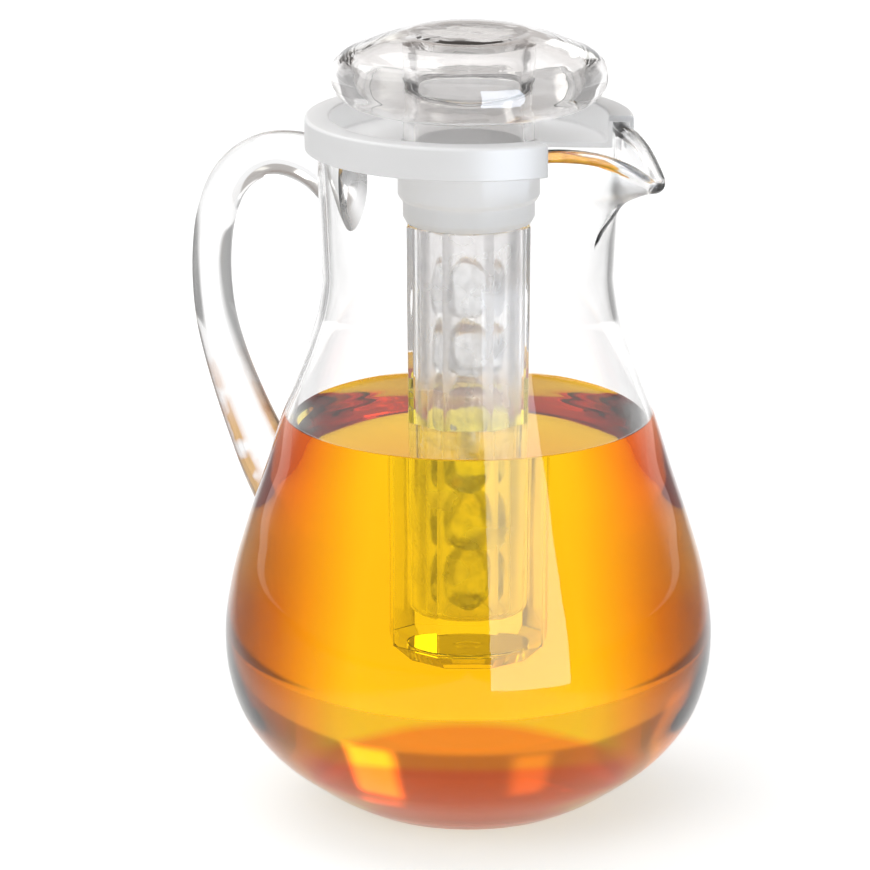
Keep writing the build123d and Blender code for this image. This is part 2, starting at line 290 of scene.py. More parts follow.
def clear_plastic(name, ior=N_AIR_PLASTIC, tint=(1.0, 1.0, 1.0), wave=0.02, scale=35.0, fine=0.0, mirror=1.0,
                  spout=0.0, rough=0.0, rim=None):
    """Clear moulded plastic: sharp glass with the faint waviness of a moulded wall."""
    m, nt, out = material(name)
    g = node(nt, "ShaderNodeBsdfPrincipled", {"Base Color": (*tint, 1), "Roughness": 0.0, "IOR": ior, "Transmission Weight": 1.0,
                                              "Specular Tint": (mirror, mirror, mirror, 1)})
    co = node(nt, "ShaderNodeTexCoord").outputs["Object"]
    stretch = node(nt, "ShaderNodeMapping", {"Vector": co, "Scale": (1.0, 1.0, 0.45)}, vector_type="POINT")
    n1 = node(nt, "ShaderNodeTexNoise", {"Vector": stretch.outputs[0], "Scale": scale, "Detail": 1.5, "Roughness": 0.4})
    h = n1.outputs["Fac"]
    if fine:
        n2 = node(nt, "ShaderNodeTexNoise", {"Vector": co, "Scale": 240.0, "Detail": 2.0})
        mix = node(nt, "ShaderNodeMath", {0: n2.outputs["Fac"], 1: fine, 2: h}, operation="MULTIPLY_ADD")
        h = mix.outputs[0]
    b = node(nt, "ShaderNodeBump", {"Strength": wave, "Distance": 0.004, "Height": h})
    nt.links.new(b.outputs[0], g.inputs["Normal"])
    if rough:
        # sharper along its length than at the upper pad, where glue dulls the face behind the wall
        near = node(nt, "ShaderNodeSeparateXYZ", {0: co})
        pad = node(nt, "ShaderNodeMapRange", {"Value": near.outputs["X"], "From Min": -0.064, "From Max": -0.057}).outputs[0]
        upper = node(nt, "ShaderNodeMapRange", {"Value": near.outputs["Z"], "From Min": 0.185, "From Max": 0.195}).outputs[0]
        pad = node(nt, "ShaderNodeMath", {0: pad, 1: upper}, operation="MULTIPLY").outputs[0]
        dulled = node(nt, "ShaderNodeMapRange", {"Value": pad, "To Min": rough, "To Max": 0.38}).outputs[0]
        nt.links.new(dulled, g.inputs["Roughness"])
    if spout:
        # the pinched spout has the softer surface of plastic that was drawn out
        along_x = node(nt, "ShaderNodeSeparateXYZ", {0: co}).outputs["X"]
        along_z = node(nt, "ShaderNodeSeparateXYZ", {0: co}).outputs["Z"]
        out_there = node(nt, "ShaderNodeMapRange", {"Value": along_x, "From Min": 0.050, "From Max": 0.058, "To Min": 0.0, "To Max": spout}).outputs[0]
        up_there = node(nt, "ShaderNodeMapRange", {"Value": along_z, "From Min": 0.206, "From Max": 0.214}).outputs[0]
        dull = node(nt, "ShaderNodeMath", {0: out_there, 1: up_there}, operation="MULTIPLY").outputs[0]
        nt.links.new(dull, g.inputs["Roughness"])
    if rim:
        # painted shade: the handle's colour greys towards the edges it shows at a slant
        slant = node(nt, "ShaderNodeLayerWeight", {"Blend": 0.5}).outputs["Facing"]
        painted_rim_shade = ramp(nt, slant, [(q, (v,) * 3) for q, v in rim])
        # painted reflection: its lower end gets noisy patches of the drink's amber along its outer side
        low = node(nt, "ShaderNodeSeparateXYZ", {0: co})
        down = node(nt, "ShaderNodeMapRange", {"Value": low.outputs["Z"], "From Min": 0.128, "From Max": 0.170, "To Min": 1.0, "To Max": 0.0},
                    interpolation_type="SMOOTHSTEP").outputs[0]
        amber_gleam_noise = node(nt, "ShaderNodeTexNoise", {"Vector": co, "Scale": 75.0, "Detail": 2.0}).outputs["Fac"]
        painted_amber_gleam = node(nt, "ShaderNodeMapRange", {"Value": amber_gleam_noise, "From Min": 0.42, "From Max": 0.54}).outputs[0]
        outer = node(nt, "ShaderNodeMapRange", {"Value": slant, "From Min": 0.06, "From Max": 0.22}).outputs[0]
        share = node(nt, "ShaderNodeMath", {0: down, 1: painted_amber_gleam}, operation="MULTIPLY").outputs[0]
        share = node(nt, "ShaderNodeMath", {0: share, 1: outer}, operation="MULTIPLY").outputs[0]
        amber = node(nt, "ShaderNodeMix", {0: share}, data_type="RGBA")
        nt.links.new(painted_rim_shade.outputs[0], amber.inputs[6])
        amber.inputs[7].default_value = (0.50, 0.21, 0.05, 1)
        nt.links.new(amber.outputs[2], g.inputs["Base Color"])
    if mirror < 1.0:
        # painted: reflections dimmed in a band round the neck, which keeps a lamp's reflection off that band
        height = node(nt, "ShaderNodeSeparateXYZ", {0: co}).outputs["Z"]
        neck = ramp(nt, height, [(0.0, (mirror,) * 3), (0.204, (mirror,) * 3), (0.210, (0.05,) * 3), (0.240, (0.05,) * 3), (0.243, (mirror,) * 3)])
        nt.links.new(neck.outputs[0], g.inputs["Specular Tint"])
    nt.links.new(g.outputs[0], out.inputs["Surface"])
    return m


def frosted(name):
    """The tube's bore, misted over by the ice inside where it stands in air, barely so in the drink; the mist also
    carries a painted glow.
    """
    m, nt, out = material(name)
    co = node(nt, "ShaderNodeTexCoord").outputs["Object"]
    n1 = node(nt, "ShaderNodeTexNoise", {"Vector": co, "Scale": 55.0, "Detail": 3.0}).outputs["Fac"]
    rough = node(nt, "ShaderNodeMapRange", {"Value": n1, "From Min": 0.35, "From Max": 0.65, "To Min": 0.12, "To Max": 0.30})
    g = node(nt, "ShaderNodeBsdfPrincipled", {"Base Color": (1, 1, 1, 1), "Roughness": rough.outputs[0], "IOR": N_AIR_PLASTIC, "Transmission Weight": 1.0})
    d = node(nt, "ShaderNodeBsdfDiffuse", {"Color": (0.93, 0.91, 0.91, 1)})
    t = node(nt, "ShaderNodeBsdfTranslucent", {"Color": (0.93, 0.91, 0.91, 1)})
    film = node(nt, "ShaderNodeMixShader", {0: 0.5, 1: d.outputs[0], 2: t.outputs[0]})
    # painted glow: emission added to the mist, which is no lamp
    painted_bore_glow = node(nt, "ShaderNodeEmission", {"Color": (0.95, 0.92, 0.92, 1), "Strength": 0.45})
    film = node(nt, "ShaderNodeAddShader", {0: film.outputs[0], 1: painted_bore_glow.outputs[0]})
    thick = node(nt, "ShaderNodeMapRange", {"Value": n1, "From Min": 0.35, "From Max": 0.65, "To Min": 0.20, "To Max": 0.42})
    height = node(nt, "ShaderNodeSeparateXYZ", {0: co}).outputs["Z"]
    dry = node(nt, "ShaderNodeMapRange", {"Value": height, "From Min": 0.140, "From Max": 0.156, "To Min": 0.22, "To Max": 1.0}).outputs[0]
    film_share = node(nt, "ShaderNodeMath", {0: thick.outputs[0], 1: dry}, operation="MULTIPLY").outputs[0]
    mix = node(nt, "ShaderNodeMixShader", {0: film_share, 1: g.outputs[0], 2: film.outputs[0]})
    nt.links.new(mix.outputs[0], out.inputs["Surface"])
    return m


def white_plastic(name, base=(0.80, 0.80, 0.80), rough=0.34, painted_glow=0.0):
    """White moulded polypropylene: satin, slightly uneven, with a fine spark texture."""
    m, nt, out = material(name)
    co = node(nt, "ShaderNodeTexCoord").outputs["Object"]
    big = node(nt, "ShaderNodeTexNoise", {"Vector": co, "Scale": 22.0, "Detail": 3.0}).outputs["Fac"]
    fine = node(nt, "ShaderNodeTexNoise", {"Vector": co, "Scale": 1400.0, "Detail": 2.0}).outputs["Fac"]
    lo = tuple(c * 0.965 for c in base)
    col = ramp(nt, big, [(0.35, lo), (0.65, base)])
    rr = node(nt, "ShaderNodeMapRange", {"Value": big, "From Min": 0.3, "From Max": 0.7, "To Min": rough - 0.04, "To Max": rough + 0.06})
    b = node(nt, "ShaderNodeBump", {"Strength": 0.06, "Distance": 0.0002, "Height": fine})
    # painted glow: faces inside the clear neck and under the clear knob get a little emission, standing in for the
    # light that those throw on them
    flat = node(nt, "ShaderNodeVectorMath", {0: co, 1: (1.0, 1.0, 0.0)}, operation="MULTIPLY").outputs[0]
    radius = node(nt, "ShaderNodeVectorMath", {0: flat}, operation="LENGTH").outputs["Value"]
    height = node(nt, "ShaderNodeSeparateXYZ", {0: co}).outputs["Z"]
    in_bowl = node(nt, "ShaderNodeMath", {0: radius, 1: 0.0506}, operation="LESS_THAN").outputs[0]
    in_slot = node(nt, "ShaderNodeMath", {0: radius, 1: 0.0582}, operation="LESS_THAN").outputs[0]
    low = node(nt, "ShaderNodeMath", {0: height, 1: 0.2568}, operation="LESS_THAN").outputs[0]
    slot = node(nt, "ShaderNodeMath", {0: in_slot, 1: low}, operation="MULTIPLY").outputs[0]
    mask = node(nt, "ShaderNodeMath", {0: in_bowl, 1: slot}, operation="MAXIMUM").outputs[0]
    inside = node(nt, "ShaderNodeMath", {0: mask, 1: painted_glow}, operation="MULTIPLY").outputs[0]
    p = node(nt, "ShaderNodeBsdfPrincipled", {
        "Base Color": col.outputs[0], "Roughness": rr.outputs[0], "IOR": 1.49, "Emission Color": (1, 1, 1, 1), "Emission Strength": inside,
        "Subsurface Weight": 0.25, "Subsurface Radius": (1.0, 1.0, 1.0), "Subsurface Scale": 0.002,
        "Normal": b.outputs[0]})
    nt.links.new(p.outputs[0], out.inputs["Surface"])
    return m


def silicone(name):
    m, nt, out = material(name)
    co = node(nt, "ShaderNodeTexCoord").outputs["Object"]
    n1 = node(nt, "ShaderNodeTexNoise", {"Vector": co, "Scale": 60.0, "Detail": 3.0}).outputs["Fac"]
    col = ramp(nt, n1, [(0.3, (0.80, 0.80, 0.78)), (0.7, (0.88, 0.88, 0.86))])
    p = node(nt, "ShaderNodeBsdfPrincipled", {
        "Base Color": col.outputs[0], "Roughness": 0.42, "IOR": 1.41, "Transmission Weight": 0.35,
        "Subsurface Weight": 0.2, "Subsurface Scale": 0.002})
    nt.links.new(p.outputs[0], out.inputs["Surface"])
    return m


def drink_material():
    """Amber drink. Its sides touch the jug, whose own wet faces bend the light there, so the sides let it straight
    through; the top and the pocket for the tube bend it as liquid does."""
    m, nt, out = material("drink_amber")
    side = node(nt, "ShaderNodeAttribute", attribute_name="against_wall", attribute_type="GEOMETRY").outputs["Fac"]
    co = node(nt, "ShaderNodeTexCoord").outputs["Object"]
    ripple = node(nt, "ShaderNodeTexNoise", {"Vector": co, "Scale": 28.0, "Detail": 1.0}).outputs["Fac"]
    b = node(nt, "ShaderNodeBump", {"Strength": 0.015, "Distance": 0.003, "Height": ripple})
    g = node(nt, "ShaderNodeBsdfGlass", {"Color": (1, 1, 1, 1), "Roughness": 0.0, "IOR": N_DRINK, "Normal": b.outputs[0]})
    # painted shade: towards the left and right edges of the belly the drink's colour is painted deeper and browner, by
    # how squarely each face turns to the view
    flat = node(nt, "ShaderNodeVectorMath", {0: node(nt, "ShaderNodeNewGeometry").outputs["Normal"], 1: (1.0, 1.0, 0.0)}, operation="MULTIPLY")
    level = node(nt, "ShaderNodeVectorMath", {0: flat.outputs[0]}, operation="NORMALIZE")
    slant = node(nt, "ShaderNodeLayerWeight", {"Blend": 0.5, "Normal": level.outputs[0]}).outputs["Facing"]
    edge_low = ramp(nt, slant, [(0.0, (1, 1, 1)), (0.11, (1, 1, 1)), (0.19, (0.95, 0.72, 0.22)), (0.26, (0.78, 0.50, 0.14)),
                                (0.34, (0.62, 0.38, 0.16)), (1.0, (0.50, 0.30, 0.15))])
    edge_high = ramp(nt, slant, [(0.0, (1, 1, 1)), (0.11, (1, 1, 1)), (0.20, (1.0, 0.74, 0.24)), (0.30, (1.0, 0.50, 0.10)),
                                 (0.45, (0.92, 0.40, 0.08)), (1.0, (0.85, 0.34, 0.08))])
    height = node(nt, "ShaderNodeSeparateXYZ", {0: co}).outputs["Z"]
    high = node(nt, "ShaderNodeMapRange", {"Value": height, "From Min": 0.098, "From Max": 0.132}, interpolation_type="SMOOTHSTEP").outputs[0]
    edge = node(nt, "ShaderNodeMix", {0: high}, data_type="RGBA")
    nt.links.new(edge_low.outputs[0], edge.inputs[6])
    nt.links.new(edge_high.outputs[0], edge.inputs[7])
    # and painted redder where the belly rounds under: painted shade
    whole = node(nt, "ShaderNodeLayerWeight", {"Blend": 0.5}).outputs["Facing"]
    under = node(nt, "ShaderNodeMath", {0: whole, 1: slant}, operation="SUBTRACT").outputs[0]
    belly = node(nt, "ShaderNodeMapRange", {"Value": height, "From Min": 0.056, "From Max": 0.076, "To Min": 1.0, "To Max": 0.0}).outputs[0]
    under = node(nt, "ShaderNodeMath", {0: under, 1: belly}, operation="MULTIPLY").outputs[0]
    deep = ramp(nt, under, [(0.0, (1, 1, 1)), (0.138, (1, 1, 1)), (0.168, (0.97, 0.50, 0.24)), (1.0, (0.97, 0.50, 0.24))])
    both = node(nt, "ShaderNodeVectorMath", {0: edge.outputs[2], 1: deep.outputs[0]}, operation="MULTIPLY")
    # where light runs steeply through the drink the painted shade fades out, so there it keeps its own colour
    upright = node(nt, "ShaderNodeCombineXYZ", {"Z": 1.0}).outputs[0]
    lying = node(nt, "ShaderNodeLayerWeight", {"Blend": 0.5, "Normal": upright}).outputs["Facing"]
    lying = node(nt, "ShaderNodeMapRange", {"Value": lying, "From Min": 0.50, "From Max": 0.70}).outputs[0]
    tint = node(nt, "ShaderNodeMix", {0: lying}, data_type="RGBA")
    tint.inputs[6].default_value = (1, 1, 1, 1)
    nt.links.new(both.outputs[0], tint.inputs[7])
    r = node(nt, "ShaderNodeBsdfRefraction", {"Color": tint.outputs[2], "Roughness": 0.0, "IOR": 1.0})
    mix = node(nt, "ShaderNodeMixShader", {0: side, 1: g.outputs[0], 2: r.outputs[0]})
    nt.links.new(mix.outputs[0], out.inputs["Surface"])
    v = node(nt, "ShaderNodeVolumeAbsorption", {"Color": (0.992, 0.903, 0.0, 1), "Density": 45.0})
    nt.links.new(v.outputs[0], out.inputs["Volume"])
    return m


def ice_material():
    m, nt, out = material("ice")
    co = node(nt, "ShaderNodeTexCoord").outputs["Object"]
    n1 = node(nt, "ShaderNodeTexNoise", {"Vector": co, "Scale": 90.0, "Detail": 4.0, "Roughness": 0.6}).outputs["Fac"]
    n2 = node(nt, "ShaderNodeTexNoise", {"Vector": co, "Scale": 260.0, "Detail": 3.0}).outputs["Fac"]
    rough = node(nt, "ShaderNodeMapRange", {"Value": n1, "From Min": 0.40, "From Max": 0.66, "To Min": 0.05, "To Max": 0.35})
    b = node(nt, "ShaderNodeBump", {"Strength": 0.30, "Distance": 0.0012, "Height": n1})
    g = node(nt, "ShaderNodeBsdfPrincipled", {
        "Base Color": (0.97, 0.985, 1.0, 1), "Roughness": rough.outputs[0], "IOR": 1.31,
        "Transmission Weight": 1.0, "Normal": b.outputs[0]})
    d = node(nt, "ShaderNodeBsdfDiffuse", {"Color": (0.9, 0.92, 0.93, 1)})
    t = node(nt, "ShaderNodeBsdfTranslucent", {"Color": (0.9, 0.92, 0.93, 1)})
    frost = node(nt, "ShaderNodeMixShader", {0: 0.5, 1: d.outputs[0], 2: t.outputs[0]})
    mask = node(nt, "ShaderNodeMapRange", {"Value": n2, "From Min": 0.42, "From Max": 0.72, "To Min": 0.0, "To Max": 0.30})
    mix = node(nt, "ShaderNodeMixShader", {0: mask.outputs[0], 1: g.outputs[0], 2: frost.outputs[0]})
    nt.links.new(mix.outputs[0], out.inputs["Surface"])
    return m


MAT_JUG = clear_plastic("jug_clear", wave=0.012, scale=22.0, mirror=0.4, spout=0.20)
MAT_JUG_WET = clear_plastic("jug_clear_wet", ior=N_AIR_PLASTIC / N_DRINK, wave=0.012, scale=22.0, mirror=0.4)
# the rim values are painted shade: greys for the handle's slanted edges
MAT_HANDLE = clear_plastic("handle_clear", wave=0.012, scale=22.0, mirror=0.7, rough=0.08,
                           rim=[(0.0, 0.985), (0.20, 0.95), (0.40, 0.84), (0.65, 0.68), (1.0, 0.52)])
MAT_TUBE = clear_plastic("tube_clear", wave=0.03, scale=60.0)
MAT_BORE = frosted("tube_bore_mist_and_painted_glow")
MAT_CAP = clear_plastic("cap_clear", wave=0.05, scale=70.0, tint=(0.972, 0.964, 0.96))
# lid and collar carry a painted glow (emission) on faces inside the neck and under the knob
MAT_LID = white_plastic("lid_white", base=(0.86, 0.86, 0.86), painted_glow=0.24)
MAT_COLLAR = white_plastic("collar_white", base=(0.79, 0.79, 0.785), rough=0.38, painted_glow=0.24)
MAT_SEAL = silicone("seal_silicone")
MAT_DRINK = drink_material()
MAT_ICE = ice_material()

# ---------------------------------------------------------------------------
# Jug: outer and inner skin as one closed mesh
# ---------------------------------------------------------------------------
OUTER_LINE = smooth_points(JUG_PROFILE[:-1], (1, 0.2), (0.04, 1), 8)


def offset_line(pts, dist):
    out = []
    for i, (r, z) in enumerate(pts):
        a, b = pts[max(i - 1, 0)], pts[min(i + 1, len(pts) - 1)]
        tr, tz = b[0] - a[0], b[1] - a[1]
        n = math.hypot(tr, tz)
        out.append((r - dist * tz / n, z + dist * tr / n))
    return out


_in = offset_line(JUG_PROFILE, WALL)[2:-2] + [(JUG_PROFILE[-2][0] - WALL, JUG_PROFILE[-2][1])]
INNER_LINE = smooth_points([(38.0, BASE_T), (49.0, 6.6)] + _in, (1, 0.12), (0.04, 1), 8)


def radius_on(line, z):
    for a, b in zip(line[:-1], line[1:]):
        if a[1] <= z <= b[1]:
            t = (z - a[1]) / max(b[1] - a[1], 1e-9)
            return a[0] + t * (b[0] - a[0])
    return line[-1][0]


def neck_out(z):
    if z <= 201.0:
        return radius_on(OUTER_LINE, z)
    return 53.4 + (min(z, 246.0) - 201.0) / 45.0 * 1.8


def neck_in(z):
    if z <= 201.0:
        return radius_on(INNER_LINE, z)
    return 50.6 + (min(z, 246.0) - 201.0) / 45.0 * (NECK_IN_R - 50.6)


keel_line = smooth_points([(z, r) for r, z in KEEL[:-1]], None, (1, 0.0), 8)
lip_line = smooth_points(LIP, (1, 0), (1, -1.3), 10)


def keel_reach(z):
    pts = keel_line
    if z <= pts[0][0]:
        return pts[0][1] - 0.35 * (pts[0][0] - z)
    if z >= pts[-1][0]:
        return pts[-1][1]
    for a, b in zip(pts[:-1], pts[1:]):
        if a[0] <= z <= b[0]:
            t = (z - a[0]) / (b[0] - a[0])
            return a[1] + t * (b[1] - a[1])


def lip_z(x):
    pts = lip_line
    if x <= pts[0][0]:
        return RIM_Z
    for a, b in zip(pts[:-1], pts[1:]):
        if a[0] <= x <= b[0]:
            t = (x - a[0]) / (b[0] - a[0])
            return a[1] + t * (b[1] - a[1])
    return pts[-1][1]


def v_section(theta, z, neck_r, wall=0.0, proud=0.0, soft=3.0):
    """Radius at angle theta (radians) of the neck with its spout at height z. The keel fades into the neck at its foot."""
    base = neck_r + proud
    k = max(0.0, min(1.0, (z - 215.0) / 14.0))
    return base + (v_full(theta, z, neck_r, wall, proud, soft) - base) * k * k * (3 - 2 * k)


def v_full(theta, z, neck_r, wall, proud, soft):
    th = abs(theta)
    base = neck_r + proud
    if z <= SPOUT_FOOT:
        return base
    half = math.radians(SPOUT_HALF * min(1.0, (z - SPOUT_FOOT) / (RIM_Z - SPOUT_FOOT)))
    nose = NOSE * min(1.0, max(0.2, math.degrees(half) / 16.0)) + proud
    reach = keel_reach(z) + proud
    c = reach - nose
    if c <= 0:
        return base
    rx, ry = (neck_out(z) + proud - 0.2) * math.cos(half), (neck_out(z) + proud - 0.2) * math.sin(half)
    dx, dy = c - rx, -ry
    dist = math.hypot(dx, dy)
    if dist <= nose:
        return base
    d = math.atan2(dy, dx) + math.asin(min(0.999, nose / dist))
    n = (-math.sin(d), math.cos(d))
    k = n[0] * rx + n[1] * ry - wall
    nose_i = max(nose - wall, 0.5)
    # ray from the axis at angle th against the straight flank and the nose circle
    dirx, diry = math.cos(th), math.sin(th)
    foot = math.atan2(n[1], n[0])
    flank = k / math.cos(foot - th) if th < foot else k - 40.0 * (th - foot)
    tx, ty = c + nose_i * n[0], nose_i * n[1]
    if th < math.atan2(ty, tx):
        b = c * dirx
        flank = b + math.sqrt(max(nose_i ** 2 - (c * c - b * b), 0.0))
    # soft maximum where the flank runs out on the neck
    diff = flank - base
    if diff > soft:
        return flank
    if diff < -soft:
        return base
    return base + (diff + soft) ** 2 / (4 * soft)


def lip_height(theta, proud=0.0):
    """Height of the rim at this angle: where the section meets the lip line."""
    if abs(theta) > math.radians(60):
        return RIM_Z
    z = RIM_Z
    for _ in range(60):
        x = v_section(theta, z, neck_out(z), soft=2.0) * math.cos(theta)
        z2 = lip_z(x)
        z += (z2 - z) * 0.5
        if abs(z2 - z) < 1e-4:
            break
    return z


def column_angles():
    out, a = [], -180.0
    while a < 180.0 - 1e-6:
        out.append(a)
        b = abs(a)
        a += 1.5 if b > 50 else 1.0 if b > 36 else 0.5 if b > 6 else 0.35
        if abs(a) < 0.17:
            a = 0.0
    # mirror the positive half so that the jug is the same on both sides
    half = [x for x in out if x <= 0]
    return half + [-x for x in half[::-1] if -180 < x < 0]


ANGLES = [math.radians(a) for a in column_angles()]

LIPS = [lip_height(a) for a in ANGLES]


def bead_offset(t):
    """How far the rim bead stands out, t from 0 at its lower edge to 1 at its top."""
    return PROUD * min(1.0, math.sin(min(t / 0.22, 1.0) * math.pi / 2) ** 1.2)


def jug_column(theta, top):
    """Points (r, z, part) up the outside, from the edge of the base to the bead, and the bead's outer radius."""
    pts = []
    for r, z in OUTER_LINE:
        pts.append((r, z, 0))
    z0 = 201.0
    zb = top - BEAD_H
    rows = 34
    for i in range(1, rows + 1):
        z = z0 + (zb - z0) * i / rows
        pts.append((v_section(theta, z, neck_out(z)), z, 0))
    # bead: a small step out, a straight flank, a rounded top
    h = BEAD_H
    outer = v_section(theta, top, neck_out(top))
    for t in (0.04, 0.09, 0.16, 0.24, 0.36, 0.5, 0.62):
        z = zb + h * t
        pts.append((v_section(theta, z, neck_out(z)) + bead_offset(t), z, 0))
    r_out = v_section(theta, zb + h * 0.62, neck_out(top)) + PROUD
    return pts, r_out


def build_jug():
    cols = []
    for theta, top in zip(ANGLES, LIPS):
        outer, r_edge = jug_column(theta, top)
        r_in_top = v_section(theta, top - 1.0, neck_in(top), wall=WALL) if top > 221 else neck_in(top)
        # rounded rim between the outer flank and the inner wall
        za, zb = outer[-1][1], top - 1.9
        ra = outer[-1][0]
        rim = []
        steps = 12
        for i in range(1, steps):
            t = math.pi * i / steps
            mid, halfw = (ra + r_in_top) / 2, (ra - r_in_top) / 2
            # superellipse top
            cx, sx = math.cos(t), math.sin(t)
            e = 0.72
            x = math.copysign(abs(cx) ** e, cx)
            y = abs(sx) ** e
            base_z = za + (zb - za) * (1 - x) / 2
            rim.append((mid + halfw * x, base_z + (top - base_z) * y, 0))
        inner = []
        z_start = zb
        rows = 34
        for i in range(rows + 1):
            z = z_start + (201.0 - z_start) * i / rows
            r = neck_in(z)
            if z > 204.0:
                v = min(v_section(theta, z, neck_in(z), wall=WALL), max(keel_reach(z) - 2.6, neck_in(z)))
                k = min(1.0, (z - 204.0) / 6.0)
                r = r + (v - r) * k * k * (3 - 2 * k)
            inner.append((r, z, 0))
        down = [(r, z, 0) for r, z in INNER_LINE[::-1][1:]]
        cols.append(outer + rim + inner + down)
    n = len(cols[0])
    wet_top = DRINK_Z + MENISCUS
    # put one row of the inner skin exactly at the edge of the drink
    first_inner = len(OUTER_LINE) + 34 + 7
    best = min(range(first_inner, n), key=lambda j: abs(cols[0][j][1] - wet_top) + (0 if cols[0][j][0] < 67.5 else 50))
    for c in cols:
        c[best] = (radius_on(INNER_LINE, wet_top), wet_top, 0)
    verts, faces, slots = [], [], []
    for theta, c in zip(ANGLES, cols):
        for r, z, _ in c:
            verts.append((r * math.cos(theta), r * math.sin(theta), z))
    m = len(cols)
    for i in range(m):
        i2 = (i + 1) % m
        for j in range(n - 1):
            faces.append((i * n + j, i2 * n + j, i2 * n + j + 1, i * n + j + 1))
            slots.append(1 if j >= best else 0)
    # base discs: outside and inside
    for zz, row, slot in ((0.0, 0, 0), (BASE_T, n - 1, 1)):
        rings = [0.75, 0.5, 0.25]
        prev = [i * n + row for i in range(m)]
        r0 = cols[0][row][0]
        for f in rings:
            cur = []
            for theta in ANGLES:
                cur.append(len(verts))
                verts.append((r0 * f * math.cos(theta), r0 * f * math.sin(theta), zz))
            for i in range(m):
                i2 = (i + 1) % m
                faces.append((prev[i], prev[i2], cur[i2], cur[i]))
                slots.append(slot)
            prev = cur
        c = len(verts)
        verts.append((0, 0, zz))
        for i in range(m):
            faces.append((prev[i], prev[(i + 1) % m], c))
            slots.append(slot)
    o = new_object("jug_shell", verts, faces, [MAT_JUG, MAT_JUG_WET, MAT_HANDLE], slots)
    return out_facing(o)


def mid_wall(z):
    return (neck_out(z) + neck_in(z)) / 2 if z > 30 else neck_out(z) - 1.4


def build_handle():
    path = smooth_points(HANDLE, None, None, 8)
    seg = 64
    rings = []
    for i, (x, z, hh, hw) in enumerate(path):
        a, b = path[max(i - 1, 0)], path[min(i + 1, len(path) - 1)]
        tx, tz = b[0] - a[0], b[1] - a[1]
        n = math.hypot(tx, tz)
        tx, tz = tx / n, tz / n
        ux, uz = -tz, tx   # in-plane direction across the handle
        ring = []
        for k in range(seg):
            t = 2 * math.pi * k / seg
            ring.append(Vector((x + ux * hh * math.sin(t), hw * math.cos(t), z + uz * hh * math.sin(t))))
        rings.append(ring)

    def pull(p):
        """Moves a point along x on to the middle of the jug's wall."""
        r = mid_wall(p[2])
        return Vector((-math.sqrt(max(r * r - p[1] ** 2, 1.0)), p[1], p[2]))

    def out_by(p):
        return math.hypot(p[0], p[1]) - mid_wall(p[2])

    def crossing(k, order):
        """Where the line along the handle through point k leaves the middle of the wall."""
        prev = None
        for i in order:
            d = out_by(rings[i][k])
            if d > 0:
                if prev is None:
                    return float(i)
                t = prev[1] / (prev[1] - d)
                return prev[0] + (i - prev[0]) * t
            prev = (i, d)
        return float(order[-1])

    def along(k, t):
        i = min(int(math.floor(t)), len(rings) - 2)
        return rings[i][k].lerp(rings[i + 1][k], t - i)

    n = len(rings)
    first = next(i for i in range(n) if all(out_by(p) > 0.4 for p in rings[i])) + 3
    last = max(i for i in range(n) if all(out_by(p) > 0.4 for p in rings[i])) - 3
    up_t = [crossing(k, list(range(0, first + 1))) for k in range(seg)]
    lo_t = [crossing(k, list(range(n - 1, last - 1, -1))) for k in range(seg)]
    steps = 14
    keep = []
    for j in range(steps):
        keep.append([along(k, up_t[k] + (first - up_t[k]) * j / steps) for k in range(seg)])
    keep += rings[first:last + 1]
    for j in range(1, steps + 1):
        keep.append([along(k, last + (lo_t[k] - last) * j / steps) for k in range(seg)])
    keep[0] = [pull(p) for p in keep[0]]
    keep[-1] = [pull(p) for p in keep[-1]]
    verts, faces = [], []
    for ring in keep:
        verts += [tuple(p) for p in ring]
    for i in range(len(keep) - 1):
        for k in range(seg):
            k2 = (k + 1) % seg
            faces.append((i * seg + k, i * seg + k2, (i + 1) * seg + k2, (i + 1) * seg + k))
    for base, ring in ((0, keep[0]), ((len(keep) - 1) * seg, keep[-1])):
        prev = [base + k for k in range(seg)]
        cy = sum(p[1] for p in ring) / seg
        cz = sum(p[2] for p in ring) / seg
        for f in (0.8, 0.6, 0.4, 0.2):
            cur = []
            for k in range(seg):
                y, z = cy + (ring[k][1] - cy) * f, cz + (ring[k][2] - cz) * f
                cur.append(len(verts))
                verts.append(tuple(pull((0, y, z))))
            for k in range(seg):
                k2 = (k + 1) % seg
                faces.append((prev[k], prev[k2], cur[k2], cur[k]))
            prev = cur
        c = len(verts)
        verts.append(tuple(pull((0, cy, cz))))
        for k in range(seg):
            faces.append((prev[k], prev[(k + 1) % seg], c))
    return out_facing(new_object("handle_raw", verts, faces, [MAT_JUG, MAT_JUG_WET, MAT_HANDLE], [2] * len(faces)))


jug = build_jug()
handle = build_handle()
boolean(jug, handle, "UNION")
shade(jug, 38)
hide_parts("jug_body", "jug_handle")
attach(jug, "jug")

# ---------------------------------------------------------------------------
# Ice tube: eight flats outside, round bore
# ---------------------------------------------------------------------------
T_TOP, T_BOT, T_NECK, T_FLOOR = 220.0, 57.0, 233.2, 72.0
AF_TOP, AF_BOT, BORE_TOP, BORE_BOT, NECK_R = 22.4, 21.2, 15.0, 14.2, 21.6
CHAMFER, RECESS_R, RECESS_H = 5.5, 15.2, 4.4


def af_at(z):
    return AF_BOT + (AF_TOP - AF_BOT) * (z - T_BOT) / (T_TOP - T_BOT)


def octagon(apothem, z, corner=0.9, steps=4):
    """Ring of 8 corners, each rounded, starting on the first corner."""
    base = [(apothem / math.cos(math.radians(22.5)) * math.cos(math.radians(TUBE_FACE + 22.5 + 45 * k)),
             apothem / math.cos(math.radians(22.5)) * math.sin(math.radians(TUBE_FACE + 22.5 + 45 * k))) for k in range(8)]
    if corner <= 0:
        return [(x, y, z) for x, y in base]
    return [(x, y, z) for x, y in round_corners(base, corner, steps)]


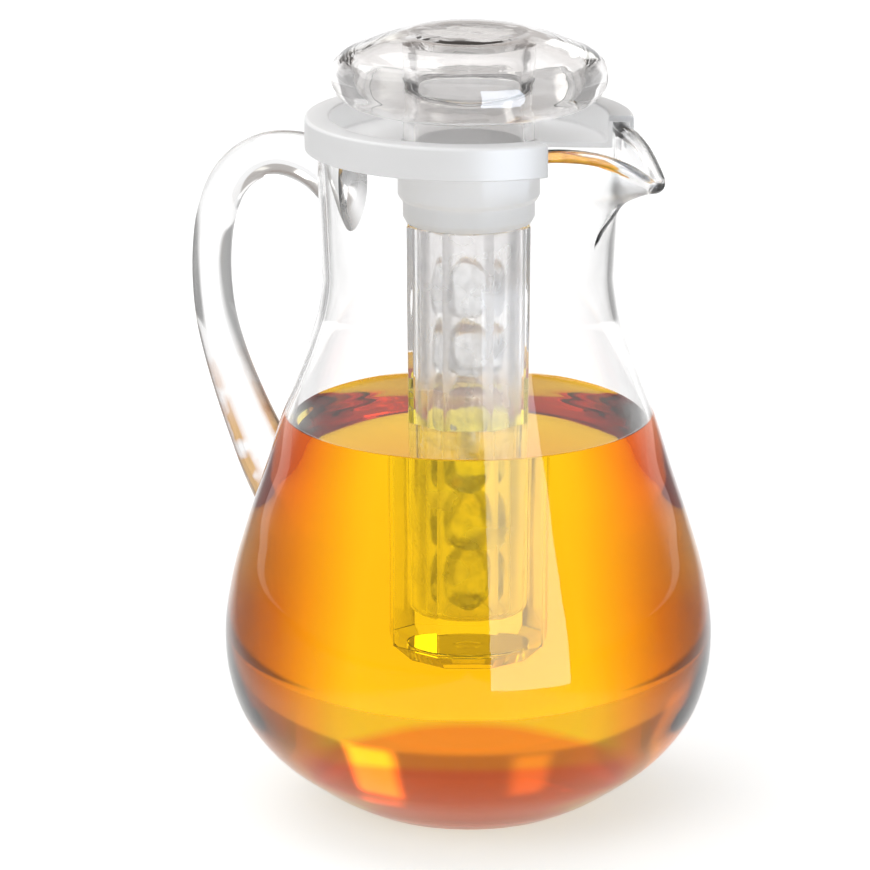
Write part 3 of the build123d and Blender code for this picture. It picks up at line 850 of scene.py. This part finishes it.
def build_tube():
    verts, faces = [], []

    def add(ring):
        s = len(verts)
        verts.extend(ring)
        return list(range(s, s + len(ring)))

    def bridge(a, b):
        n = len(a)
        for k in range(n):
            k2 = (k + 1) % n
            faces.append((a[k], a[k2], b[k2], b[k]))

    def circle(r, z, count, start):
        return [(r * math.cos(start + 2 * math.pi * k / count), r * math.sin(start + 2 * math.pi * k / count), z)
                for k in range(count)]

    def by_angle(ring_a, ring_b):
        """Bridges two flat rings of different counts with triangles, both sorted by angle."""
        ang = lambda i: math.atan2(verts[i][1], verts[i][0])
        a = sorted(ring_a, key=ang)
        b = sorted(ring_b, key=ang)
        i = j = 0
        na, nb = len(a), len(b)
        while i < na or j < nb:
            a0, b0 = a[i % na], b[j % nb]
            nxt_a = ang(a[(i + 1) % na]) + (2 * math.pi if i + 1 >= na else 0)
            nxt_b = ang(b[(j + 1) % nb]) + (2 * math.pi if j + 1 >= nb else 0)
            if j >= nb or (i < na and nxt_a <= nxt_b):
                faces.append((a0, a[(i + 1) % na], b0))
                i += 1
            else:
                faces.append((a0, b[(j + 1) % nb], b0))
                j += 1

    zc = T_BOT + CHAMFER
    levels = [(af_at(zc), zc)] + [(af_at(z), z) for z in (90.0, 130.0, 175.0, T_TOP - 0.5)] + [(AF_TOP - 0.5, T_TOP)]
    bottom = add(octagon(af_at(T_BOT) - CHAMFER, T_BOT, 0.7))
    low = add(octagon(af_at(T_BOT) - CHAMFER + 0.35, T_BOT + 0.25, 0.7))
    bridge(bottom, low)
    low2 = add(octagon(af_at(zc) - 0.35, zc - 0.25, 0.9))
    bridge(low, low2)
    prev = low2
    for af, z in levels:
        ring = add(octagon(af, z, 0.9))
        bridge(prev, ring)
        prev = ring
    # step to the round neck
    seg = 96
    neck0 = add(circle(NECK_R, T_TOP, seg, 0.0))
    by_angle(prev, neck0)
    neck1 = add(circle(NECK_R, T_NECK - 0.4, seg, 0.0))
    bridge(neck0, neck1)
    neck2 = add(circle(NECK_R - 0.4, T_NECK, seg, 0.0))
    bridge(neck1, neck2)
    # bore, from the top down
    bore = [(BORE_TOP + 0.5, T_NECK), (BORE_TOP, T_NECK - 0.5)]
    for i in range(1, 13):
        z = T_NECK - 0.5 + (T_FLOOR + 3.0 - T_NECK + 0.5) * i / 12
        bore.append((BORE_BOT + (BORE_TOP - BORE_BOT) * (z - T_FLOOR) / (T_NECK - T_FLOOR), z))
    for i in range(1, 9):
        t = math.pi / 2 * i / 8
        bore.append((BORE_BOT - 3.0 + 3.0 * math.cos(t), T_FLOOR + 3.0 - 3.0 * math.sin(t)))
    bore += [(8.0, T_FLOOR - 0.25), (4.0, T_FLOOR - 0.4)]
    prev = neck2
    bore_from = len(faces) + 2 * seg
    for r, z in bore:
        ring = add(circle(r, z, seg, 0.0))
        bridge(prev, ring)
        prev = ring
    c = len(verts)
    verts.append((0, 0, T_FLOOR - 0.45))
    for k in range(seg):
        faces.append((prev[k], prev[(k + 1) % seg], c))
    bore_to = len(faces)
    # underside: flat rim, shallow recess with the gate mark
    u0 = add(circle(RECESS_R, T_BOT, seg, 0.0))
    by_angle(bottom, u0)
    prev = u0
    for r, z in [(RECESS_R - 0.35, T_BOT + 0.3), (RECESS_R - 0.5, T_BOT + RECESS_H - 0.3), (RECESS_R - 0.9, T_BOT + RECESS_H),
                 (9.0, T_BOT + RECESS_H), (4.6, T_BOT + RECESS_H), (4.2, T_BOT + RECESS_H - 0.35), (3.4, T_BOT + RECESS_H - 0.4),
                 (1.5, T_BOT + RECESS_H - 0.4)]:
        ring = add(circle(r, z, seg, 0.0))
        bridge(prev, ring)
        prev = ring
    c = len(verts)
    verts.append((0, 0, T_BOT + RECESS_H - 0.4))
    for k in range(seg):
        faces.append((prev[k], prev[(k + 1) % seg], c))
    slots = [1 if bore_from <= i < bore_to else 0 for i in range(len(faces))]
    return out_facing(new_object("ice_tube_clear", verts, faces, [MAT_TUBE, MAT_BORE], slots))


tube = build_tube()
shade(tube, 30)
weighted(tube)
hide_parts("ice_tube")
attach(tube, "tube")

# ---------------------------------------------------------------------------
# White parts
# ---------------------------------------------------------------------------
collar_line = round_corners([(21.62, 220.0), (24.05 - 1.25, 220.0), (24.05, 222.3), (24.05, 233.2), (21.62, 233.2)],
                            [0.2, 0.5, 0.6, 0.3, 0.2], 4)
collar = shade(lathe("tube_collar_ring", collar_line, 128, [MAT_COLLAR]), 32)
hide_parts("tube_collar")
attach(collar, "tube")

HUB_R, HUB_BORE, HUB_BOT, HUB_TOP, LEDGE_R = 25.9, 24.35, 228.6, 249.4, 19.0
ring_line = round_corners([
    (50.3, 249.0), (50.3, 259.0), (59.6, 259.0), (59.6, 247.0), (57.9, 247.0), (57.9, 256.6), (51.9, 256.6), (51.9, 247.0),
    (25.4, 247.0), (25.4, 249.0)], [1.2, 1.3, 1.3, 0.5, 0.3, 0.5, 0.5, 0.6, 0.0, 0.0], 5)
lid = lathe("pour_lid_white", ring_line, 200, [MAT_LID], a0=30.0, a1=330.0)
bv = lid.modifiers.new("edges", "BEVEL")
bv.width, bv.segments, bv.limit_method, bv.angle_limit = 0.0004, 2, "ANGLE", math.radians(60)
apply_modifiers(lid)
hub_line = round_corners([
    (HUB_BORE, HUB_TOP), (HUB_R, HUB_TOP), (HUB_R, HUB_BOT + 1.8), (HUB_R - 1.0, HUB_BOT), (HUB_BORE, HUB_BOT),
    (HUB_BORE, 234.5), (LEDGE_R, 234.5), (LEDGE_R, 236.0), (HUB_BORE, 236.0)],
    [0.35, 0.3, 0.4, 0.3, 0.1, 0.2, 0.3, 0.3, 0.2], 3)
hub = lathe("hub", hub_line, 200, [MAT_LID])
boolean(lid, hub, "UNION")
shade(lid, 32)
weighted(lid)
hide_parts("pour_lid")
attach(lid, "lid")

gasket = shade(lathe("tube_gasket_ring", round_corners([(17.0, 233.25), (21.4, 233.25), (21.4, 234.15), (17.0, 234.15)], 0.3, 3), 96, [MAT_SEAL]), 40)
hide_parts("tube_gasket")
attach(gasket, "tube")

# ---------------------------------------------------------------------------
# Knob: hollow clear dome, sleeve with its plate, O-ring
# ---------------------------------------------------------------------------
DOME_OUT = [(20.9, 290.0), (30.0, 287.9), (40.7, 283.7), (45.8, 281.3), (49.2, 278.0),
            (50.4, 274.0), (49.8, 270.0), (47.3, 266.5), (43.8, 264.1), (39.4, 262.8)]
DOME_IN = [(20.9, 286.4), (29.0, 284.5), (37.6, 280.8), (41.4, 278.9), (43.4, 276.6),
           (44.0, 274.0), (43.5, 271.1), (41.7, 268.4), (39.6, 266.8), (37.6, 266.2)]
out_line = smooth_points(DOME_OUT, (1, -0.1), (-1, -0.45), 6)
in_line = smooth_points(DOME_IN, (1, -0.1), (-1, -0.4), 6)
dome_line = [(0.0, 290.0), (8.0, 290.0), (16.0, 290.0)] + out_line + [(37.35, 262.8), (37.35, 266.2)] + in_line[::-1][1:] \
    + [(16.0, 286.4), (8.0, 286.4), (0.0, 286.4)]
dome = shade(lathe("cap_dome_clear", dome_line, 192, [MAT_CAP]), 40)
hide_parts("cap_dome")
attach(dome, "cap")

STEM_R, STEM_IN, STEM_BOT, OR_Z, OR_A, OR_C = 24.0, 19.7, 236.3, 241.2, 1.0, 23.25
stem_line = [
    (STEM_IN, STEM_BOT), (STEM_R - 0.6, STEM_BOT), (STEM_R, STEM_BOT + 0.6), (STEM_R, OR_Z - OR_A - 0.1),
    (OR_C - OR_A, OR_Z - OR_A - 0.1), (OR_C - OR_A, OR_Z + OR_A + 0.1), (STEM_R, OR_Z + OR_A + 0.1),
    (STEM_R, 262.8), (37.3, 262.8), (37.3, 266.2), (STEM_R, 266.2), (STEM_R, 284.0), (20.9, 286.35), (STEM_IN, 286.35)]
stem = shade(lathe("cap_stem_clear", round_corners(
    stem_line, [0.3, 0.2, 0.3, 0.2, 0.1, 0.1, 0.2, 0.8, 0.15, 0.15, 0.8, 0.5, 0.2, 0.3], 4), 160, [MAT_CAP]), 36)
weighted(stem)
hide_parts("cap_stem")
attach(stem, "cap")

oring = shade(lathe("cap_oring_seal", [(OR_C + OR_A * math.cos(2 * math.pi * k / 20), OR_Z + OR_A * math.sin(2 * math.pi * k / 20)) for k in range(20)],
                    128, [MAT_SEAL]), 60)
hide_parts("cap_oring")
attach(oring, "cap")

# ---------------------------------------------------------------------------
# Drink: closed body of liquid with a pocket for the tube
# ---------------------------------------------------------------------------


def build_drink():
    gap = 0.03
    inset = 0.3
    side = [p for p in offset_line(INNER_LINE, gap) if p[1] < DRINK_Z + MENISCUS - 0.6]
    side.append((radius_on(INNER_LINE, DRINK_Z + MENISCUS) - gap, DRINK_Z + MENISCUS))
    top = []
    r_w = side[-1][0]
    for d in (0.25, 0.6, 1.0, 1.5, 2.2, 3.2, 4.6, 6.5, 10.0, 16.0, 24.0, 34.0):
        top.append((r_w - d, DRINK_Z + MENISCUS * math.exp(-d / 1.3)))
    line = side + top
    verts, faces, wall = [], [], []
    m = len(ANGLES)
    n = len(line)
    for theta in ANGLES:
        for r, z in line:
            verts.append((r * math.cos(theta), r * math.sin(theta), z))
    for i in range(m):
        i2 = (i + 1) % m
        for j in range(n - 1):
            faces.append((i * n + j, i2 * n + j, i2 * n + j + 1, i * n + j + 1))
            wall.append(1.0 if j < len(side) - 1 else 0.0)
    # bottom disc
    r0, z0 = line[0]
    prev = [i * n for i in range(m)]
    for f in (0.75, 0.5, 0.25):
        cur = []
        for theta in ANGLES:
            cur.append(len(verts))
            verts.append((r0 * f * math.cos(theta), r0 * f * math.sin(theta), z0))
        for i in range(m):
            i2 = (i + 1) % m
            faces.append((prev[i], prev[i2], cur[i2], cur[i]))
            wall.append(1.0)
        prev = cur
    c = len(verts)
    verts.append((0, 0, z0))
    for i in range(m):
        faces.append((prev[i], prev[(i + 1) % m], c))
        wall.append(1.0)
    # pocket, 0.3 mm inside the tube's own skin, so that tube and drink meet without a gap
    pocket = set()

    def add(ring):
        s = len(verts)
        verts.extend(ring)
        ids = list(range(s, s + len(ring)))
        pocket.update(ids)
        return ids

    zc = T_BOT + CHAMFER
    rings = [octagon(af_at(DRINK_Z) - inset, DRINK_Z, 0.7),
             octagon(af_at(zc) - inset, zc + 0.12, 0.7),
             octagon(af_at(T_BOT) - CHAMFER - inset + 0.2, T_BOT + inset, 0.5)]
    ids = [add(r) for r in rings]
    for a, b in zip(ids[:-1], ids[1:]):
        for k in range(len(a)):
            k2 = (k + 1) % len(a)
            faces.append((a[k], a[k2], b[k2], b[k]))
            wall.append(0.0)
    seg = 96

    def circle(r, z):
        return add([(r * math.cos(2 * math.pi * k / seg), r * math.sin(2 * math.pi * k / seg), z) for k in range(seg)])

    def by_angle(ring_a, ring_b):
        ang = lambda i: math.atan2(verts[i][1], verts[i][0])
        a, b = sorted(ring_a, key=ang), sorted(ring_b, key=ang)
        i = j = 0
        na, nb = len(a), len(b)
        while i < na or j < nb:
            a0, b0 = a[i % na], b[j % nb]
            nxt_a = ang(a[(i + 1) % na]) + (2 * math.pi if i + 1 >= na else 0)
            nxt_b = ang(b[(j + 1) % nb]) + (2 * math.pi if j + 1 >= nb else 0)
            if j >= nb or (i < na and nxt_a <= nxt_b):
                faces.append((a0, a[(i + 1) % na], b0))
                i += 1
            else:
                faces.append((a0, b[(j + 1) % nb], b0))
                j += 1
            wall.append(0.0)

    # top surface from its last ring to the pocket's edge
    by_angle([i * n + n - 1 for i in range(m)], ids[0])
    pocket.difference_update(ids[0])
    c0 = circle(RECESS_R - 0.10, T_BOT + inset)
    by_angle(ids[-1], c0)
    c1 = circle(RECESS_R - 0.25, T_BOT + RECESS_H + inset)
    for k in range(seg):
        k2 = (k + 1) % seg
        faces.append((c0[k], c0[k2], c1[k2], c1[k]))
        wall.append(0.0)
    c2 = circle(6.0, T_BOT + RECESS_H + inset)
    for k in range(seg):
        k2 = (k + 1) % seg
        faces.append((c1[k], c1[k2], c2[k2], c2[k]))
        wall.append(0.0)
    c = len(verts)
    verts.append((0, 0, T_BOT + RECESS_H + inset))
    pocket.add(c)
    for k in range(seg):
        faces.append((c2[k], c2[(k + 1) % seg], c))
        wall.append(0.0)
    o = new_object("drink", verts, faces, [MAT_DRINK])
    attr = o.data.attributes.new("against_wall", "FLOAT", "FACE")
    attr.data.foreach_set("value", np.array(wall, np.float32))
    out_facing(o)
    return o, pocket


drink, pocket = build_drink()
shade(drink, 34)
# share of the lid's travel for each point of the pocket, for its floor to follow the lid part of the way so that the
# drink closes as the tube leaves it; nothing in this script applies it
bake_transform(drink)
share = np.zeros(len(drink.data.vertices), np.float32)
for i in pocket:
    share[i] = (DRINK_Z - drink.data.vertices[i].co.z / MM) / LIFT

# ---------------------------------------------------------------------------
# Amber strip along the inside of the rim behind the lip of the spout: a painted glint of the drink's colour that the
# rim bends up into view, not drink left behind
# ---------------------------------------------------------------------------


# painted glint: a clear drink-coloured strip standing in for the drink's colour seen through the rim
def painted_drink_glint_material():
    m, nt, out = material("painted_drink_glint_strip")
    co = node(nt, "ShaderNodeTexCoord").outputs["Object"]
    n1 = node(nt, "ShaderNodeTexNoise", {"Vector": co, "Scale": 160.0, "Detail": 3.0}).outputs["Fac"]
    col = ramp(nt, n1, [(0.35, (0.60, 0.24, 0.004)), (0.65, (0.88, 0.46, 0.01))])
    b = node(nt, "ShaderNodeBump", {"Strength": 0.25, "Distance": 0.0006, "Height": n1})
    p = node(nt, "ShaderNodeBsdfPrincipled", {"Base Color": col.outputs[0], "Roughness": 0.03, "IOR": N_DRINK,
                                              "Transmission Weight": 1.0, "Normal": b.outputs[0]})
    nt.links.new(p.outputs[0], out.inputs["Surface"])
    return m


def build_painted_drink_glint():
    start, stop, cols, ring = -29.5, -4.5, 60, 14
    verts, faces = [], []
    for i in range(cols + 1):
        t = i / cols
        theta = math.radians(start + (stop - start) * t)
        top = lip_height(theta)
        full = max(0.08, min(1.0, t / 0.12, (1 - t) / 0.2)) ** 0.6
        half_h, thick = 1.75 * full * (0.8 + 0.2 * math.sin(9 * t)), 0.75 * full
        zc = top - 2.9
        for k in range(ring):
            u = 2 * math.pi * k / ring
            z = zc + half_h * math.sin(u)
            wall_r = v_section(theta, z, neck_in(z), wall=WALL)
            r = wall_r - 0.06 - thick * 0.5 * (1 + math.cos(u))
            verts.append((r * math.cos(theta), r * math.sin(theta), z))
    for i in range(cols):
        for k in range(ring):
            k2 = (k + 1) % ring
            faces.append((i * ring + k, i * ring + k2, (i + 1) * ring + k2, (i + 1) * ring + k))
    faces.append(list(range(ring)))
    faces.append([cols * ring + k for k in range(ring)][::-1])
    return out_facing(new_object("painted_drink_glint_strip", verts, faces, [painted_drink_glint_material()]))


painted_drink_glint = shade(build_painted_drink_glint(), 50)
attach(painted_drink_glint, "jug")

# ---------------------------------------------------------------------------
# Ice cubes in the tube
# ---------------------------------------------------------------------------
rng = random.Random(11)


def ice_cube(name, z, size, turn, lean, seed):
    bm = bmesh.new()
    bmesh.ops.create_cube(bm, size=1.0)
    bmesh.ops.bevel(bm, geom=bm.edges[:], offset=0.33, segments=4, profile=0.55, affect="EDGES")
    bmesh.ops.subdivide_edges(bm, edges=bm.edges[:], cuts=2, use_grid_fill=True)
    rot = Matrix.Rotation(turn, 3, "Z") @ Matrix.Rotation(lean, 3, "X")
    for v in bm.verts:
        p = v.co.copy()
        q = Vector((p.x * size[0], p.y * size[1], p.z * size[2]))
        w = noise.noise(p * 2.1 + Vector((seed, 0, seed * 0.7))) * 1.1 + noise.noise(p * 5.0 + Vector((0, seed, 3))) * 0.4
        q += p.normalized() * w
        q = rot @ q
        # melted where it meets the bore
        r = math.hypot(q.x, q.y)
        lim = 13.55 - 0.2 * abs(noise.noise(q * 0.3))
        if r > lim:
            q.x *= lim / r
            q.y *= lim / r
        v.co = (q + Vector((0, 0, z))) * MM
    mesh = bpy.data.meshes.new(name)
    bm.to_mesh(mesh)
    bm.free()
    mesh.materials.append(MAT_ICE)
    o = bpy.data.objects.new(name, mesh)
    bpy.context.scene.collection.objects.link(o)
    out_facing(o)
    ss = o.modifiers.new("soft", "SUBSURF")
    ss.levels = ss.render_levels = 1
    apply_modifiers(o)
    shade(o, 80)
    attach(o, "tube")
    return o


z = T_FLOOR + 0.6
for k, (h, w, d) in enumerate([(19.5, 21, 20), (21, 20, 21), (20, 22, 19), (21.5, 20.5, 21), (19.5, 21.5, 20), (21, 20, 20.5)]):
    ice_cube("ice_cube_%d" % (k + 1), z + h / 2 + 1.2, (w, d, h), rng.uniform(0, math.pi), rng.uniform(-0.16, 0.16), k * 3.1 + 1)
    z += h + 1.9

# ---------------------------------------------------------------------------
# Floor, light, camera
# ---------------------------------------------------------------------------
scene = bpy.context.scene


def floor_material():
    """White table with a painted glow, as if lit a little from below, in a wedge that runs back from the object, and
    with painted shade that makes it greyer off to both sides.
    """
    m, nt, out = material("studio_floor")
    co = node(nt, "ShaderNodeTexCoord").outputs["Object"]
    az = math.radians(32.0)
    side = node(nt, "ShaderNodeVectorMath", {0: co, 1: (math.cos(az), math.sin(az), 0)}, operation="DOT_PRODUCT").outputs["Value"]
    deep = node(nt, "ShaderNodeVectorMath", {0: co, 1: (-math.sin(az), math.cos(az), 0)}, operation="DOT_PRODUCT").outputs["Value"]
    away = node(nt, "ShaderNodeMath", {0: deep, 1: 1.93}, operation="ADD").outputs[0]
    away = node(nt, "ShaderNodeMath", {0: away, 1: 0.5}, operation="MAXIMUM").outputs[0]
    off = node(nt, "ShaderNodeMath", {0: side}, operation="ABSOLUTE").outputs[0]
    q = node(nt, "ShaderNodeMath", {0: off, 1: away}, operation="DIVIDE").outputs[0]
    n1 = node(nt, "ShaderNodeTexNoise", {"Vector": co, "Scale": 3.0, "Detail": 2.0}).outputs["Fac"]
    near = node(nt, "ShaderNodeMapRange", {"Value": deep, "From Min": 0.9, "From Max": 1.7, "To Min": 1.0, "To Max": 0.0}).outputs[0]
    q = node(nt, "ShaderNodeMath", {0: q, 1: near}, operation="MULTIPLY").outputs[0]
    fac = node(nt, "ShaderNodeMath", {0: n1, 1: 0.004, 2: q}, operation="MULTIPLY_ADD").outputs[0]
    far = node(nt, "ShaderNodeMapRange", {"Value": deep, "From Min": 0.6, "From Max": 2.5, "To Min": 1.0, "To Max": 1.3}).outputs[0]
    # painted shade: greyer off to both sides of the wedge
    col = ramp(nt, fac, [(0.0, (0.62,) * 3), (0.098, (0.62,) * 3), (0.16, (0.42,) * 3), (0.5, (0.40,) * 3), (1.0, (0.40,) * 3)])
    # painted glow: emission inside the wedge, rising further back
    painted_glow = ramp(nt, fac, [(0.0, (FLOOR_PAINTED_GLOW,) * 3), (0.098, (FLOOR_PAINTED_GLOW,) * 3), (0.15, (0.0,) * 3), (1.0, (0.0,) * 3)])
    p = node(nt, "ShaderNodeBsdfPrincipled", {"Base Color": col.outputs[0], "Roughness": 0.75, "IOR": 1.3,
                                              "Emission Color": painted_glow.outputs[0], "Emission Strength": far})
    nt.links.new(p.outputs[0], out.inputs["Surface"])
    return m


FLOOR_PAINTED_GLOW = 0.55


def build_floor():
    bm = bmesh.new()
    rings = [0.0, 0.3, 0.8, 2.0, 5.0, 12.0, 30.0]
    seg = 64
    prev = None
    centre = bm.verts.new((0, 0, 0))
    for r in rings[1:]:
        cur = [bm.verts.new((r * math.cos(2 * math.pi * k / seg), r * math.sin(2 * math.pi * k / seg), 0)) for k in range(seg)]
        for k in range(seg):
            k2 = (k + 1) % seg
            if prev is None:
                bm.faces.new((centre, cur[k], cur[k2]))
            else:
                bm.faces.new((prev[k], cur[k], cur[k2], prev[k2]))
        prev = cur
    mesh = bpy.data.meshes.new("studio_floor")
    bm.to_mesh(mesh)
    bm.free()
    mesh.materials.append(floor_material())
    o = bpy.data.objects.new("studio_floor", mesh)
    o.location.z = -0.0004
    scene.collection.objects.link(o)
    return o


floor = build_floor()

AZ, EL, DIST, TARGET_Z = 32.0, 14.9, 2.0, 0.146
FOCAL_PX = 5454.0
a, e = math.radians(AZ), math.radians(EL)
back = Vector((math.cos(e) * math.sin(a), -math.cos(e) * math.cos(a), math.sin(e)))
target = Vector((0, 0, TARGET_Z))
eye = target + back * DIST
right = Vector((math.cos(a), math.sin(a), 0))
up = right.cross(-back)
aim = target - right * (33.5 / FOCAL_PX * DIST) - up * (18.5 / FOCAL_PX * DIST)
cam_data = bpy.data.cameras.new("camera")
cam = bpy.data.objects.new("camera", cam_data)
scene.collection.objects.link(cam)
cam.location = eye
cam.rotation_mode = "QUATERNION"
cam.rotation_quaternion = (aim - eye).to_track_quat("-Z", "Y")
cam_data.sensor_width = 36.0
cam_data.lens = FOCAL_PX * 36.0 / 870.0
cam_data.clip_start, cam_data.clip_end = 0.1, 100.0
scene.camera = cam


def softbox(name, centre, look, size, power, spread=180.0, colour=(1, 1, 1)):
    d = bpy.data.lights.new(name, "AREA")
    d.shape, d.size, d.size_y = "RECTANGLE", size[0], size[1]
    d.energy, d.color = power, colour
    d.spread = math.radians(spread)
    o = bpy.data.objects.new(name, d)
    scene.collection.objects.link(o)
    o.location = centre
    o.rotation_mode = "QUATERNION"
    o.rotation_quaternion = (Vector(look) - Vector(centre)).to_track_quat("-Z", "Y")
    o.visible_camera = False
    return o


def around(az, el, dist, z=0.14):
    """A point at this azimuth and elevation from the object, 0 azimuth in front."""
    a, e = math.radians(az), math.radians(el)
    return Vector((dist * math.cos(e) * math.sin(a), -dist * math.cos(e) * math.cos(a), z + dist * math.sin(e)))


mid = (0, 0, 0.13)
strip = softbox("strip_right", around(AZ + 26.4, 0, 0.45, 0.302), around(AZ + 26.4, 0, 0.0, 0.302), (0.277, 0.6), 5.0,
                colour=(0.80, 0.88, 1.0))
strip.visible_diffuse = False
strip.visible_transmission = False
softbox("key_back_left", around(AZ - 130, 50, 2.6), mid, (1.8, 1.4), 14.0)
softbox("top", around(AZ + 180, 84, 3.2), mid, (3.6, 3.6), 20.0)
front_light = softbox("front_left", around(AZ - 38, 34, 2.2), mid, (1.6, 1.2), 16.0)
front_light.visible_glossy = False
front_light.visible_transmission = False

world = bpy.data.worlds.new("studio")
scene.world = world
world.use_nodes = True
nt = world.node_tree
nt.nodes.clear()
w_out = nt.nodes.new("ShaderNodeOutputWorld")
gen = node(nt, "ShaderNodeTexCoord").outputs["Generated"]


def along_axis(v):
    return node(nt, "ShaderNodeVectorMath", {0: gen, 1: v}, operation="DOT_PRODUCT").outputs["Value"]


def calc(op, *args):
    return node(nt, "ShaderNodeMath", {k: v for k, v in enumerate(args)}, operation=op).outputs[0]


# elevation and azimuth of the room round the object, in degrees; azimuth 0 is behind it
elev = calc("MULTIPLY", calc("ARCSINE", along_axis((0, 0, 1))), 180 / math.pi)
azim = calc("MULTIPLY", calc("ARCTAN2", along_axis((math.cos(a), math.sin(a), 0)), along_axis((-math.sin(a), math.cos(a), 0))), 180 / math.pi)


def band(value, lo, hi, soft):
    """1 between lo and hi, 0 outside, with soft edges."""
    up_ = node(nt, "ShaderNodeMapRange", {"Value": value, "From Min": lo - soft, "From Max": lo + soft}, interpolation_type="SMOOTHSTEP").outputs[0]
    down = node(nt, "ShaderNodeMapRange", {"Value": value, "From Min": hi - soft, "From Max": hi + soft, "To Min": 1.0, "To Max": 0.0},
                interpolation_type="SMOOTHSTEP").outputs[0]
    return calc("MULTIPLY", up_, down)


def tone(*stops):
    """Colour against elevation, from (degrees, grey or colour) stops."""
    fac = node(nt, "ShaderNodeMapRange", {"Value": elev, "From Min": -90.0, "From Max": 90.0}).outputs[0]
    return ramp(nt, fac, [((d + 90) / 180, v if isinstance(v, tuple) else (v,) * 3) for d, v in stops]).outputs[0]


WARM = (0.54, 0.51, 0.49)
behind = tone((-90, 1.0), (8.2, 1.0), (9.4, WARM), (22, WARM), (30, (0.40, 0.35, 0.32)), (50, 0.55), (90, 0.95))
front = tone((-90, 1.0), (0, 0.38), (25, 0.42), (50, 0.60), (90, 0.95))
room = node(nt, "ShaderNodeMix", {"Factor": band(azim, -50.0, 58.0, 8.0)}, data_type="RGBA")
nt.links.new(front, room.inputs[6])
nt.links.new(behind, room.inputs[7])
window_a = calc("MULTIPLY", band(azim, 10.5, 18.0, 1.5), band(elev, 9.0, 21.0, 1.5))
window_b = calc("MULTIPLY", band(azim, -11.5, -6.2, 1.5), band(elev, 9.5, 19.0, 1.5))
patch_a = node(nt, "ShaderNodeVectorMath", {0: (2.6, 2.6, 2.5), "Scale": window_a}, operation="SCALE").outputs[0]
patch_b = node(nt, "ShaderNodeVectorMath", {0: (0.55, 0.55, 0.5), "Scale": window_b}, operation="SCALE").outputs[0]
patch_colour = node(nt, "ShaderNodeVectorMath", {0: patch_a, 1: patch_b}, operation="ADD")
left_card = calc("MULTIPLY", calc("MULTIPLY", band(azim, -50.0, -37.0, 2.5), band(elev, 6.0, 27.0, 3.0)), 0.75)
extra = node(nt, "ShaderNodeVectorMath", {0: (1.0, 1.0, 1.0), "Scale": left_card}, operation="SCALE")
extra = node(nt, "ShaderNodeVectorMath", {0: extra.outputs[0], 1: patch_colour.outputs[0]}, operation="ADD")
lit = node(nt, "ShaderNodeMix", {"Factor": 1.0}, data_type="RGBA", blend_type="ADD")
nt.links.new(room.outputs[2], lit.inputs[6])
nt.links.new(extra.outputs[0], lit.inputs[7])
bg = node(nt, "ShaderNodeBackground", {"Color": lit.outputs[2], "Strength": 1.0})
nt.links.new(bg.outputs[0], w_out.inputs["Surface"])

scene.view_settings.view_transform = "Standard"
scene.view_settings.look = "None"
scene.view_settings.exposure = 0.0
scene.view_settings.gamma = 1.0
cy = scene.cycles
cy.max_bounces = 36
cy.transmission_bounces = 32
cy.glossy_bounces = 12
cy.diffuse_bounces = 4
cy.transparent_max_bounces = 32
cy.volume_bounces = 0
cy.caustics_reflective = True
cy.caustics_refractive = True
cy.sample_clamp_indirect = 12.0
cy.use_denoising = True
